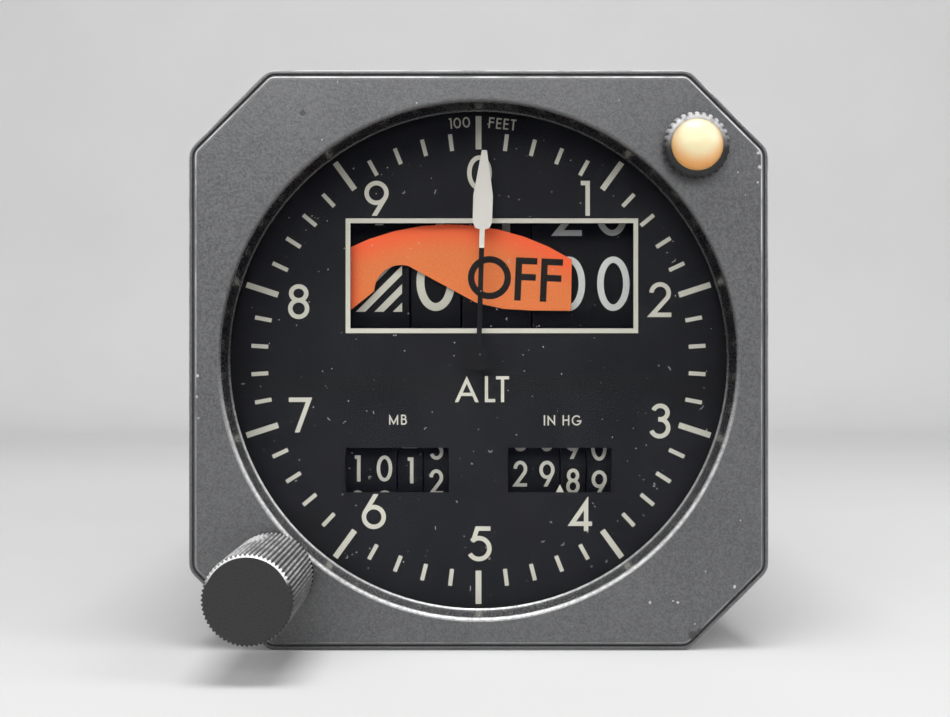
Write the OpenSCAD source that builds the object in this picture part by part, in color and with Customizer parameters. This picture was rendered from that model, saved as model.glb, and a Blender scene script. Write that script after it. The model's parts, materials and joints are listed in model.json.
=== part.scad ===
// Aircraft altimeter indicator with a pointer, a drum counter and two pressure-setting counters.
// Frame: +X to the right and +Z up as seen from the front, +Y to the rear.
// The origin is on the dial axis, in the plane of the bezel's rear face.

/* [Bezel] */
// Width and height of the square bezel
bezel_size = 82.55; // [81:0.05:86]
// Depth of the bezel in front of the panel
bezel_depth = 9.5; // [8.5:0.1:12]
// Leg of the cut corners of the bezel
bezel_corner = 11.3; // [9:0.1:12.5]
// Rounding of the corners of the bezel, seen from the front
bezel_corner_round = 2.5; // [1.5:0.1:3.5]
// Rounding of the front edge of the bezel
bezel_edge_round = 0.45; // [0.3:0.05:1.2]
// Width of the rim that runs round the front edge of the bezel
rim_width = 0.55; // [0.4:0.05:0.8]
// How far the rim lies behind the front face
rim_set_back = 0.5; // [0.3:0.05:1]
// Rounding of the rim
rim_round = 0.35; // [0.1:0.05:0.4]
// Width of the groove between the rim and the front face
groove_width = 0.4; // [0.2:0.05:0.6]
// Depth of the groove behind the front face
groove_depth = 1.3; // [1.1:0.1:2]
// Rounding of the edge of the round opening
opening_round = 0.56; // [0.2:0.02:0.8]
// How far the opening narrows from its front edge to the glass ledge
opening_taper = 0.35; // [0.1:0.05:0.8]
// Width of the ledge that the glass is pressed against
ledge_width = 1.75; // [1.2:0.05:2.2]
// Chamfer on the inner edge of the ledge
ledge_chamfer = 0.2; // [0.1:0.05:0.3]
// Depth of the ledge behind the front face of the bezel
ledge_depth = 5.5; // [4.5:0.1:6]
// Length of the spigot on the rear of the bezel that enters the case
spigot_length = 3.0; // [2.6:0.1:3.2]
// Thinnest wall of the spigot outside the glass seat
seat_wall = 0.8; // [0.5:0.05:1.2]

/* [Glass and dial] */
// Thickness of the seal in front of the glass
seal_thickness = 0.4; // [0.2:0.05:0.6]
// Thickness of the cover glass
glass_thickness = 2.0; // [1.5:0.1:2.4]
// Distance from the glass to the dial
dial_gap = 2.4; // [2.2:0.1:3]
// Thickness of the dial plate
dial_thickness = 0.8; // [0.5:0.05:1]
// Thickness of the ring that holds the dial from behind
retaining_ring_thickness = 0.6; // [0.3:0.05:0.7]
// Width of the spacer ring between glass and dial
spacer_width = 0.7; // [0.4:0.05:1]
// Radial clearance of the glass, dial and rings in their seat
seat_clearance = 0.1; // [0.05:0.01:0.2]
// Width of the window over the altitude counter
window_width = 42.2; // [38:0.1:43]
// Height of the window over the altitude counter
window_height = 15.7; // [13:0.1:16.5]
// Sideways place of the middle of the altitude window
window_x = 2.0; // [1:0.1:2.5]
// Height of the middle of the altitude window above the dial axis
window_z = 12.55; // [12:0.05:13]
// Width of each pressure window
baro_window_width = 15.5; // [13:0.1:16]
// Height of each pressure window
baro_window_height = 6.7; // [5:0.1:7.5]
// Distance of the middle of each pressure window from the dial axis, sideways
baro_window_x = 12.15; // [11.5:0.05:12.5]

/* [Pointer] */
// Distance from the dial axis to the tip of the pointer
pointer_reach = 31.05; // [28:0.05:33]
// Widest part of the pointer blade
pointer_width = 2.9; // [2:0.1:4]
// Width of the pointer tip and of the stem
pointer_stem_width = 0.75; // [0.5:0.05:1.2]
// Thickness of the pointer
pointer_thickness = 0.4; // [0.2:0.05:0.6]
// Gap between the dial and the pointer
pointer_lift = 1.2; // [0.9:0.05:1.4]

/* [Altitude counter] */
// Radius of the altitude drums
drum_r = 18.6; // [18:0.1:18.9]
// Gap between the rear of the dial and the front of all drums
drum_set_back = 1.9; // [1.7:0.1:2.4]
// Height of the axle of the altitude drums above the dial axis
counter_z = 11.67; // [11.4:0.01:12.4]
// Left end of the row of altitude drums
counter_left = -20.4; // [-20.8:0.1:-20]
// Width of the ten-thousands drum
ten_thousands_width = 9.9; // [9.5:0.1:10.1]
// Width of the thousands drum
thousands_width = 7.4; // [7:0.1:7.6]
// Width of the hundreds drum
hundreds_width = 10.3; // [10:0.1:10.5]
// Width of the drum that shows tens of feet
tens_width = 16.15; // [15.8:0.05:16.4]
// Gap between neighbouring altitude drums
drum_gap = 0.35; // [0.3:0.05:0.5]
// Wall of the drum rims and webs
drum_wall = 1.2; // [0.8:0.1:1.6]
// Radius of the axle of the altitude drums
counter_axle_r = 2.0; // [1.6:0.1:2.4]

/* [Pressure counters] */
// Radius of the pressure drums
baro_drum_r = 8.6; // [8.2:0.1:8.8]
// Height of the axle of the pressure drums, below the dial axis
baro_z = -16.7; // [-17:0.05:-16.5]
// Distance from the dial axis to the inner end of both pressure counters
baro_inner = 4.5; // [4.4:0.1:4.7]
// Width of the leading drum of a pressure counter, which shows two figures
baro_wide = 7.7; // [7.3:0.1:7.8]
// Width of each single-figure pressure drum
baro_narrow = 3.7; // [3.5:0.05:3.8]
// Gap between neighbouring pressure drums
baro_gap = 0.25; // [0.2:0.05:0.35]
// Radius of the axle of the pressure drums and of the cross shaft
baro_axle_r = 1.2; // [1:0.05:1.4]

/* [Gears] */
// Tooth size of the main gear train
gear_module = 0.6; // [0.58:0.005:0.62]
// Tooth size of the two gears behind the dial
front_module = 0.3; // [0.29:0.005:0.31]
// Tooth size of the bevel pair at the counter
bevel_module = 0.5; // [0.48:0.01:0.52]
// Face width of the main gears
gear_face = 2.0; // [1.5:0.1:2.5]
// Radius of the gear shafts
shaft_r = 0.8; // [0.6:0.05:1]
// Radius of the shaft that drives the counter
drive_shaft_r = 1.2; // [1:0.05:1.4]
// Thickness of the frame plates
frame_plate = 2.0; // [1.5:0.1:2.5]
// Thickness of the side plates and of the pointer bridge
side_plate = 1.3; // [1:0.1:1.5]
// Radial clearance of everything that turns in a bore
running_clearance = 0.07; // [0.05:0.01:0.1]

/* [Flag] */
// Thickness of the warning flag
flag_thickness = 0.3; // [0.2:0.05:0.4]
// Gap between the retaining ring and the flag
flag_gap = 0.3; // [0.25:0.05:0.4]
// Radius of the small motor that moves the flag
flag_motor_r = 4.5; // [3.5:0.1:4.8]

/* [Knob] */
// Distance of the knob axis from the left edge of the bezel
knob_inset_x = 12.1; // [11.8:0.05:12.3]
// Distance of the knob axis from the lower edge of the bezel
knob_inset_z = 11.1; // [10.8:0.05:11.4]
// Radius of the knob over its knurl
knob_r = 5.9; // [5:0.05:6.5]
// Depth of the straight knurl
knurl_depth = 0.3; // [0.15:0.05:0.4]
// Length of the knob
knob_length = 20.8; // [14:0.1:24]
// Gap between the bezel and the knob
knob_gap = 1.2; // [0.8:0.1:2]
// Chamfer around the front of the knob
knob_chamfer = 0.45; // [0.2:0.05:0.8]
// Radius of the knob shaft
knob_shaft_r = 1.5; // [1.2:0.05:1.8]
// Radius of the bushing that guides the knob shaft
knob_bushing_r = 3.4; // [3:0.05:3.5]

/* [Lamp] */
// Distance of the lamp axis from the right edge of the bezel
lamp_inset_x = 10.7; // [10.4:0.05:11]
// Distance of the lamp axis from the upper edge of the bezel
lamp_inset_z = 11.1; // [10.8:0.05:11.3]
// Radius of the knurled ring of the lamp
lamp_ring_r = 4.75; // [4.4:0.05:5]
// Rounding of the front edge of the ring
lamp_ring_round = 0.8; // [0.2:0.1:1]
// Radius of the lens
lens_r = 3.65; // [3.2:0.05:3.8]
// Height of the lens dome in front of the ring
lens_rise = 1.7; // [1:0.1:2.5]
// Length of the ring
lamp_ring_length = 1.6; // [1.2:0.1:2.2]
// Travel of the lamp when it is pressed
lamp_travel = 1.0; // [0.6:0.1:1.2]
// Radius of the bushing that holds the lamp
lamp_bushing_r = 4.0; // [3.8:0.05:4.1]

/* [Motors and cards] */
// Radius of the servo motor
servo_r = 10; // [8:0.5:11]
// Length of the servo motor
servo_length = 34; // [26:1:44]
// Radius of the altitude synchro
synchro_r = 13.5; // [11:0.5:14]
// Length of the altitude synchro
synchro_length = 42; // [30:1:52]
// Gap between the servo motor and the nearest circuit card
card_gap = 4; // [2:0.1:5]
// Distance from one circuit card to the next
card_pitch = 10; // [7:0.5:11]
// Thickness of the circuit cards
card_thickness = 1.6; // [0.8:0.1:2]
// Gap between the circuit cards and the rear cover
card_rear_gap = 6; // [4:0.5:20]

/* [Case] */
// Length of the case behind the panel
case_length = 138; // [125:1:170]
// Wall of the case
case_wall = 1.4; // [1:0.1:1.8]
// How far the bezel stands out past the case all round
bezel_lip = 0.975; // [0.7:0.025:1.3]
// Thickness of the rear cover
rear_cover_thickness = 2.0; // [1.5:0.1:3]
// Radius of the round connector on the rear
connector_r = 12.5; // [11:0.1:14]
// Length of the connector behind the rear cover
connector_length = 16; // [14:0.5:22]
// Depth from the mouth of the connector to the ends of its pins
pin_recess = 5.2; // [4.8:0.1:6]

/* [Hidden] */
$fn = 96;

// Clearance of pieces that are fixed to each other on a shaft or in a hole
fit = 0.02;
// Least air between pieces that move past each other
air = 0.4;
// Overshoot of a cut beyond the face that it opens
cut = 1;

// Outline of the bezel, spigot and case: half widths and the line |x| + |z| of the cut corners
bezel_half = bezel_size / 2;
bezel_reach = bezel_size - bezel_corner;
case_half = bezel_half - bezel_lip;
case_inner = case_half - case_wall;
spigot_clearance = 0.1;
spigot_half = case_inner - spigot_clearance;
// Low step on the rear of the bezel that the case butts against, clear of the panel seat
case_seat = 0.3;
case_seat_margin = 0.05;
case_seat_half = case_half + case_seat_margin;
// Smallest rounding left where an outline is drawn further in
least_round = 0.2;
function reach_at(half) = bezel_reach - (bezel_half - half) * sqrt(2);

// Depths of the stack inside the bezel
bezel_front = -bezel_depth;
ledge_y = bezel_front + ledge_depth;
glass_y = ledge_y + seal_thickness;
spacer_y = glass_y + glass_thickness;
dial_y = spacer_y + dial_gap;
ring_y = dial_y + dial_thickness;
stack_end = ring_y + retaining_ring_thickness;
seat_r = spigot_half - seat_wall;
stack_r = seat_r - seat_clearance;
ledge_r = seat_r - ledge_width;
opening_r = ledge_r + opening_taper;
ledge_land = 0.15;
seal_margin = 0.05;
retaining_ring_width = 1.0;
baro_window_rise = 0.25;

// Pointer
pointer_rear = dial_y - pointer_lift;
pointer_rest = 1.6;
pointer_boss_r = 1.6;
pointer_boss = 0.3;
// Distances from the tip of the pointer: to its widest part, to where it narrows again, and to the stem
pointer_taper = 6.7;
pointer_blade = 10.6;
pointer_heel = 11.7;
heel_width = 0.4;
heel_rise = 0.2;
dial_hole_r = shaft_r + air;

// Tooth counts, which set the ratios of the trains
pointer_teeth = 28;
altitude_teeth = 40;
idler_small_teeth = 20;
idler_large_teeth = 50;
drive_teeth = 20;
motor_teeth = 12;
synchro_teeth = 40;
bevel_teeth = 24;
millibar_teeth = 46;
millibar_cross_teeth = 21;
inch_teeth = 46;
inch_cross_teeth = 62;
crown_teeth = 30;
crown_pinion_teeth = 12;

// Drums and axles
drum_front = ring_y + drum_set_back;
counter_y = drum_front + drum_r;
baro_y = drum_front + baro_drum_r;
thousands_x = counter_left + ten_thousands_width + drum_gap;
hundreds_x = thousands_x + thousands_width + drum_gap;
tens_x = hundreds_x + hundreds_width + drum_gap;
tens_end = tens_x + tens_width;
drum_hub_wall = 2.2;
baro_hub_wall = 1.3;
baro_drum_wall = 0.75 * drum_wall;
drum_hub_r = counter_axle_r + drum_hub_wall;
baro_hub_r = baro_axle_r + baro_hub_wall;
baro_middle = baro_wide + baro_gap;
baro_last = baro_middle + baro_narrow + baro_gap;
baro_length = baro_last + baro_narrow;
baro_boss = 0.3;
baro_face = 1.2;

// Bevel pair: both pitch cones meet at the apex, where the drive shaft crosses the axle's line
bevel_r = bevel_teeth * bevel_module / 2;
bevel_face = 2.0;
bevel_boss = 1.0;
bevel_boss_r = 3.4;
bevel_x = tens_end + bevel_boss;
drive_x = bevel_x + bevel_r;
bevel_y = counter_y - bevel_r;

// Side plates
left_gap = 1.6;
right_gap = 0.9;
bridge_gap = 1.4;
left_inner = min(counter_left, -baro_inner - baro_length) - left_gap;
left_outer = left_inner - side_plate;
right_inner = bevel_x + bevel_face + right_gap;
right_outer = right_inner + side_plate;
bridge_y = stack_end + bridge_gap;
bridge_end = bridge_y + side_plate;
side_inset_bottom = 4.4;
side_inset_top = 14.9;
side_bottom = side_inset_bottom - case_inner;
side_top = case_inner - side_inset_top;
side_tab = 3;
right_tab_rise = 2.5;
right_tab_height = 4;
// Opening in the right side plate round the bevel pinion, and the bracket that guides the drive shaft
bevel_window_gap = 1.1;
bracket_gap = 2;
bracket_height = 9;
bracket_over = 4;
// Bar of the pointer bridge and the leg that reaches down to the altitude shaft
bridge_low = -4.4;
bridge_height = 7.6;
bridge_leg = 4.8;
bridge_leg_over = 2;

bracket_y = counter_y + counter_axle_r + bracket_gap;

// Gear bay between the two gear plates
front_plate_gap = 3.3;
front_plate_y = counter_y + drum_r + front_plate_gap;
bay_y = front_plate_y + frame_plate;
bay_depth = 14;
rear_plate_y = bay_y + bay_depth;
rear_plate_end = rear_plate_y + frame_plate;
plane_gap = 2;
first_plane = bay_y + plane_gap;
second_plane = first_plane + gear_face + plane_gap;
frame_gap = 1.5;
frame_half = case_inner - frame_gap;
shaft_inset = 0.4;
shaft_end = rear_plate_end - shaft_inset;

// Gear centres as [x, z]. The idler is where its distances to both of its mates are met
function gear_distance(n, other, module_mm) = (n + other) * module_mm / 2;
altitude_at = [0, -pointer_teeth * front_module];
drive_at = [drive_x, counter_z];
function third_corner(p, q, from_p, from_q) =
    let(across = q - p)
    let(span = norm(across))
    let(along = (span ^ 2 + from_p ^ 2 - from_q ^ 2) / (2 * span))
    let(aside = sqrt(from_p ^ 2 - along ^ 2))
    p + across / span * along + [-across.y, across.x] / span * aside;
idler_at = third_corner(altitude_at, drive_at, gear_distance(altitude_teeth, idler_small_teeth, gear_module),
    gear_distance(idler_large_teeth, drive_teeth, gear_module));
motor_bearing = 110;
motor_at = idler_at + polar(gear_distance(idler_large_teeth, motor_teeth, gear_module), motor_bearing);
motor_shaft_depth = 3;
motor_shaft_room = 1;
can_neck = 2;
can_neck_share = 0.6;
synchro_bearing = 165;
synchro_at = altitude_at + polar(gear_distance(altitude_teeth, synchro_teeth, gear_module), synchro_bearing);
hub_wall = 1.8;
hub_length = 1.5;
front_gear_gap = 0.7;
front_gear_y = ring_y + front_gear_gap;
front_gear_face = 1.0;

// Knob, crown gear and cross shaft
knob_at = [knob_inset_x - bezel_half, knob_inset_z - bezel_half];
cross_z = knob_at.y;
baro_distance = baro_z - cross_z;
millibar_module = 2 * baro_distance / (millibar_teeth + millibar_cross_teeth);
inch_module = 2 * baro_distance / (inch_teeth + inch_cross_teeth);
millibar_gear_x = -baro_inner + baro_boss;
inch_gear_x = baro_inner + baro_length + baro_boss;
crown_face = 1.2;
// The crown gear keeps its size unless the side plate is nearer
crown_size = 4.825;
crown_gap = 0.45;
crown_r = min(crown_size, left_outer - crown_gap - crown_face / 2 - knob_at.x);
crown_pinion_x = knob_at.x + crown_r - crown_face / 2;
cross_shaft_over = 0.4;
crown_module = 2 * crown_r / crown_teeth;
crown_pinion_r = crown_pinion_teeth * crown_module / 2;
crown_pitch_y = baro_y + crown_pinion_r;
crown_dedendum = 1.3;
crown_addendum = 0.75;
crown_root_half = 0.62;
crown_tip_half = 0.28;
crown_tooth_sink = 0.3;
crown_rim = 0.1;
crown_tooth_root = crown_pitch_y + crown_dedendum * crown_module;
crown_disc = 1.4;
knob_front = bezel_front - knob_gap - knob_length;
knob_rear = bezel_front - knob_gap;
knob_knurls = 60;
knob_socket = 12;
knob_bushing_over = 0.4;
potentiometer_r = 5.2;
potentiometer_length = 11;
potentiometer_socket = 7;

// Flag: pivot, the arc of its top edge and the round notch, as seen from the front
flag_y = stack_end + flag_gap;
flag_end = flag_y + flag_thickness;
flag_pivot = [-31.5, 3.0];
flag_hub_r = 2.2;
flag_pin_r = 0.6;
flag_arc_at = [-4.3, -13.9];
flag_arc_r = 34.3;
flag_notch_at = [-11.6, 10.2];
flag_notch_r = 4.1;
// Ends of the arc and of the notch as angles, and the corners of the lower edge from left to right
flag_arc_ends = [57.7, 124];
flag_notch_ends = [178, 76];
flag_lower_left = [-19, 7.7];
flag_lower_edge = [[-0.3, 8.6], [3.7, 7.7], [7.9, 7.45], [13.9, 7.4]];
flag_neck = 2.0;
flag_boss = 0.4;
flag_pin_depth = 5;
flag_motor_gap = 0.8;
flag_motor_y = flag_end + flag_motor_gap;
flag_motor_length = 14;
flag_motor_end = flag_motor_y + flag_motor_length;

// Lamp
lamp_at = [bezel_half - lamp_inset_x, bezel_half - lamp_inset_z];
lamp_margin = 0.2;
lamp_ring_wall = 0.25;
lamp_ring_rear = bezel_front - lamp_travel - lamp_margin;
lens_seat = 0.4;
lens_lip = 0.5;
lens_hollow = 0.3;
lens_crown = 0.2;
bulb_set_back = 0.9;
lamp_ring_front = lamp_ring_rear - lamp_ring_length;
lamp_stem_r = 3.0;
lamp_stem_end = bezel_front + 6;
lamp_knurls = 28;
lamp_knurl_depth = 0.25;
bulb_r = 1.6;

// Rear of the instrument
cover_end = case_length + rear_cover_thickness;
rod_r = 2;
rod_inset_x = 4.9;
rod_inset_z = 14.9;
rod_x = case_inner - rod_inset_x;
rod_z = case_inner - rod_inset_z;
// Circuit cards between the rear gear plate and the rear cover, clear of the rods and the servo motor
card_rod_gap = 2;
card_x = motor_at.x + servo_r + card_gap;
card_half = rod_z - rod_r - card_rod_gap;
card_length = case_length - card_rear_gap - rear_plate_end;
// Components on the cards: length, height and thickness, rows, and the distance from one to the next
chip = [2.2, 14, 7];
chip_rows = [-12, 4];
chip_pitch = 20;
chip_start = 10;
screw_head_r = 3.2;
screw_head = 1.6;
screw_r = 1.2;
screw_slot = 0.8;
screw_slot_share = 0.5;
connector_end = cover_end + connector_length;
connector_wall = 1.2;
connector_flange_over = 3;
connector_flange = 2 * connector_r + connector_flange_over;
connector_flange_thickness = 2;
connector_floor = 1;
flange_hole_r = 1.3;
flange_hole_inset = 2.4;
insert_clearance = 0.05;
insert_r = connector_r - connector_wall - 2 * insert_clearance;
insert_depth = 4;
insert_front = cover_end - insert_depth;
pin_length = 4;
insert_end = connector_end - pin_recess - pin_length;
pin_r = 0.5;
pin_sink = 1;
// Rings of pins: how many, and their radius as a share of the insert's
pin_rings = [[1, 0], [6, 0.4], [12, 0.78]];

function polar(r, angle) = r * [cos(angle), sin(angle)];
function unit(v) = v / norm(v);

// Points of an outline with each corner replaced by an arc
function rounded(points, r, steps = 3) =
    let(n = len(points))
    [for (i = [0:n - 1])
        let(p = points[i])
        let(before = unit(points[(i + n - 1) % n] - p))
        let(after = unit(points[(i + 1) % n] - p))
        let(half = acos(before * after) / 2)
        let(centre = p + unit(before + after) * r / sin(half))
        let(first = p + before * r / tan(half) - centre)
        let(start = atan2(first.y, first.x))
        let(turn = sign(cross(after, before)) * (180 - 2 * half))
        for (k = [0:steps]) centre + polar(r, start + turn * k / steps)];

// Square with cut corners, as a list of points
function cut_square(half, reach) =
    let(leg = reach - half)
    [[half, -leg], [half, leg], [leg, half], [-leg, half], [-half, leg], [-half, -leg], [-leg, -half],
        [leg, -half]];

// Involute tooth: half of its angle at a radius, thinned by a share of the module for backlash
pressure_angle = 20;
backlash_share = 0.09;
addendum = 0.8;
dedendum = 1.15;
function involute(angle) = tan(angle) * 180 / PI - angle;
function tooth_half(n, module_mm, r) =
    let(pitch = n * module_mm / 2)
    let(base = pitch * cos(pressure_angle))
    90 / n - backlash_share * module_mm / pitch * 180 / PI + involute(pressure_angle)
        - involute(r > base ? acos(base / r) : 0);
function gear_points(n, module_mm, phase) =
    let(pitch = n * module_mm / 2)
    let(tip = pitch + addendum * module_mm)
    let(root = pitch - dedendum * module_mm)
    let(radii = [root, (root + pitch) / 2, pitch, tip])
    [for (k = [0:n - 1])
        let(middle = phase + 360 * k / n)
        for (j = [0:7])
            let(r = radii[j < 4 ? j : 7 - j])
            polar(r, middle + (j < 4 ? -1 : 1) * tooth_half(n, module_mm, r))];
// Phase of a gear that meshes with another at a bearing seen from the other's centre
function mesh_phase(bearing, n_from, phase_from, n) =
    bearing + 180 + 180 / n - (phase_from - bearing) * n_from / n;
function bearing_of(p, q) = atan2(q.y - p.y, q.x - p.x);

// A flat shape in the X-Z plane, given depth from y0 to y1
module plate_y(y0, y1) translate([0, y1, 0]) rotate([90, 0, 0]) linear_extrude(y1 - y0) children();
// A flat shape drawn in Y-Z, given width from x0 to x1
module plate_x(x0, x1) translate([x0, 0, 0]) rotate([90, 0, 90]) linear_extrude(x1 - x0) children();
module rod_y(r, y0, y1, at = [0, 0])
    translate([at.x, y0, at.y]) rotate([-90, 0, 0]) cylinder(r = r, h = y1 - y0);
module rod_x(r, x0, x1, at = [0, 0])
    translate([x0, at.x, at.y]) rotate([0, 90, 0]) cylinder(r = r, h = x1 - x0);
// A profile drawn as radius and Y, turned about an axis along Y
module turn_y(at = [0, 0]) translate([at.x, 0, at.y]) rotate([-90, 0, 0]) rotate_extrude() children();
// A profile drawn as radius and X, turned about an axis along X
module turn_x(at = [0, 0]) translate([0, at.x, at.y]) rotate([0, 90, 0]) rotate_extrude() children();
module ring_profile(r0, r1, h0, h1) translate([r0, h0]) square([r1 - r0, h1 - h0]);
module tube_y(r0, r1, y0, y1, at = [0, 0]) turn_y(at) ring_profile(r0, r1, y0, y1);
module tube_x(r0, r1, x0, x1, at = [0, 0]) turn_x(at) ring_profile(r0, r1, x0, x1);

// A twelve-sided hole whose flats touch a shaft of the given radius
module shaft_hole(r) circle(r = r / cos(180 / 12), $fn = 12);
module gear_flat(n, module_mm, phase, bore) difference() {
    polygon(gear_points(n, module_mm, phase));
    shaft_hole(bore);
}
// A hub with flat sides
module round_flat(r, sides = 24) polygon([for (k = [0:sides - 1]) polar(r, 360 * k / sides)]);
module hub_flat(r, bore) difference() {
    round_flat(r);
    shaft_hole(bore);
}
// Lightening holes in the web of a gear, as shares of its pitch radius
hole_ring_share = 0.6;
hole_share = 0.18;
gear_hole_count = 6;
module gear_holes(n, module_mm) for (k = [0:gear_hole_count - 1])
    translate(polar(hole_ring_share * n * module_mm / 2, 360 * k / gear_hole_count))
        circle(r = hole_share * n * module_mm / 2, $fn = 12);

// A closed skin over rings of points that run from front to rear
module skin(rings) {
    n = len(rings[0]);
    last = len(rings) - 1;
    sides = [for (k = [0:last - 1], i = [0:n - 1])
        let(next = (i + 1) % n) [k * n + i, k * n + next, (k + 1) * n + next, (k + 1) * n + i]];
    front = [for (i = [n - 1:-1:0]) i];
    rear = [for (i = [0:n - 1]) last * n + i];
    polyhedron([for (ring = rings, p = ring) p], concat([front], sides, [rear]));
}

// Front parts

function bezel_ring(inset, y) =
    [for (p = rounded(cut_square(bezel_half - inset, bezel_reach - inset * sqrt(2)),
        max(bezel_corner_round - inset, least_round))) [p.x, y, p.y]];

// Rings of a rounded edge that starts at an inset and a depth behind the front face
function rounded_rings(r, inset, depth, steps) =
    [for (k = [0:steps])
        let(a = 90 * k / steps)
        bezel_ring(inset + r * (1 - sin(a)), bezel_front + depth + r * (1 - cos(a)))];

module bezel_body() {
    face_inset = rim_width + groove_width;
    groove_y = bezel_front + groove_depth;
    groove = [bezel_ring(face_inset, groove_y), bezel_ring(rim_width, groove_y),
        bezel_ring(rim_width, bezel_front + rim_set_back)];
    skin(concat(rounded_rings(bezel_edge_round, face_inset, 0, 4), groove,
        rounded_rings(rim_round, 0, rim_set_back, 3), [bezel_ring(0, 0)]));
    plate_y(-cut, case_seat) case_outline(case_seat_half);
    plate_y(-cut, spigot_length) case_outline(spigot_half);
}

module opening_profile() {
    steps = 4;
    lip = [for (k = [steps:-1:0])
        let(a = 90 * k / steps)
        [opening_r + opening_round * (1 - cos(a)), bezel_front + opening_round * (1 - sin(a))]];
    polygon(concat([[0, bezel_front - cut], [lip[0].x, bezel_front - cut]], lip,
        [[ledge_r + ledge_chamfer, ledge_y - ledge_land - ledge_chamfer], [ledge_r, ledge_y - ledge_land],
        [ledge_r, ledge_y], [seat_r, ledge_y], [seat_r, spigot_length + cut], [0, spigot_length + cut]]));
}

module bezel() color([0.30, 0.30, 0.31]) difference() {
    bezel_body();
    turn_y() opening_profile();
    rod_y(knob_bushing_r + fit, bezel_front - cut, spigot_length + cut, knob_at);
    rod_y(lamp_bushing_r + fit, bezel_front - cut, spigot_length + cut, lamp_at);
}

module glass_seal() color([0.08, 0.08, 0.08]) tube_y(ledge_r + seal_margin, stack_r, ledge_y, glass_y);

module cover_glass() color([0.75, 0.8, 0.82, 0.35]) rod_y(stack_r, glass_y, spacer_y);

module dial_spacer() color([0.05, 0.05, 0.05]) tube_y(stack_r - spacer_width, stack_r, spacer_y, dial_y);

module dial_plate() color([0.04, 0.04, 0.045]) difference() {
    rod_y(stack_r, dial_y, ring_y);
    plate_y(dial_y - cut, ring_y + cut) {
        translate([window_x, window_z]) square([window_width, window_height], center = true);
        for (side = [-1, 1]) translate([side * baro_window_x, baro_z + baro_window_rise])
            square([baro_window_width, baro_window_height], center = true);
    }
    rod_y(dial_hole_r, dial_y - cut, ring_y + cut);
}

module dial_retaining_ring() color([0.3, 0.3, 0.3])
    tube_y(stack_r - retaining_ring_width, stack_r, ring_y, stack_end);

// Pointer train

// Blade: narrow tip, widest near its lower end, then a thin stem down to the boss
module pointer_outline() {
    tip = pointer_stem_width / 2;
    wide = pointer_width / 2;
    shoulder = pointer_reach - pointer_taper;
    blade = pointer_reach - pointer_blade;
    heel = pointer_reach - pointer_heel;
    right = [[tip, heel], [wide - heel_width, heel + heel_rise], [wide, blade], [wide, shoulder],
        [tip, pointer_reach]];
    left = [for (k = [len(right) - 1:-1:0]) [-right[k].x, right[k].y]];
    polygon(concat([[-tip, 0], [tip, 0]], right, left));
}

module pointer() color([0.92, 0.91, 0.87]) difference() {
    union() {
        rotate([0, pointer_rest, 0]) plate_y(pointer_rear - pointer_thickness, pointer_rear) pointer_outline();
        rod_y(pointer_boss_r, pointer_rear - pointer_thickness - pointer_boss, pointer_rear + pointer_boss);
    }
    rod_y(shaft_r + fit, pointer_rear - pointer_thickness, pointer_rear + pointer_boss + cut);
}

module pointer_arbor() color([0.75, 0.74, 0.7]) {
    rod_y(shaft_r, pointer_rear - pointer_thickness, bridge_end);
    plate_y(front_gear_y, front_gear_y + front_gear_face) difference() {
        polygon(gear_points(pointer_teeth, front_module, 0));
        gear_holes(pointer_teeth, front_module);
    }
}

module altitude_shaft() color([0.75, 0.74, 0.7]) translate([altitude_at.x, 0, altitude_at.y]) {
    rod_y(shaft_r, front_gear_y, shaft_end);
    plate_y(front_gear_y, front_gear_y + front_gear_face)
        polygon(gear_points(pointer_teeth, front_module, mesh_phase(-90, pointer_teeth, 0, pointer_teeth)));
}

module altitude_gear() color("goldenrod") translate([altitude_at.x, 0, altitude_at.y]) {
    plate_y(second_plane, second_plane + gear_face) difference() {
        gear_flat(altitude_teeth, gear_module, 0, shaft_r + fit);
        gear_holes(altitude_teeth, gear_module);
    }
    plate_y(second_plane + gear_face, second_plane + gear_face + hub_length)
        hub_flat(shaft_r + hub_wall, shaft_r + fit);
}

idler_small_phase = mesh_phase(bearing_of(altitude_at, idler_at), altitude_teeth, 0, idler_small_teeth);
idler_large_phase = 0;

module idler_gear() color("goldenrod") translate([idler_at.x, 0, idler_at.y]) {
    rod_y(shaft_r, front_plate_y + shaft_inset, shaft_end);
    plate_y(first_plane, first_plane + gear_face) difference() {
        polygon(gear_points(idler_large_teeth, gear_module, idler_large_phase));
        gear_holes(idler_large_teeth, gear_module);
    }
    plate_y(first_plane + gear_face, second_plane) round_flat(drive_shaft_r + hub_wall);
    plate_y(second_plane, second_plane + gear_face)
        polygon(gear_points(idler_small_teeth, gear_module, idler_small_phase));
}

module counter_drive_shaft() color([0.75, 0.74, 0.7])
    rod_y(drive_shaft_r, bevel_y - bevel_boss, shaft_end, drive_at);

module counter_drive_gear() color("goldenrod") translate([drive_at.x, 0, drive_at.y]) {
    phase = mesh_phase(bearing_of(idler_at, drive_at), idler_large_teeth, idler_large_phase, drive_teeth);
    plate_y(first_plane, first_plane + gear_face)
        gear_flat(drive_teeth, gear_module, phase, drive_shaft_r + fit);
    plate_y(first_plane + gear_face, first_plane + gear_face + hub_length)
        hub_flat(drive_shaft_r + hub_wall, drive_shaft_r + fit);
}

// Bevel teeth taper to the apex, so the face is a plain gear outline drawn smaller towards it
module bevel_teeth_flat(phase) polygon(gear_points(bevel_teeth, bevel_module, phase));
bevel_taper = (bevel_r - bevel_face) / bevel_r;

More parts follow.
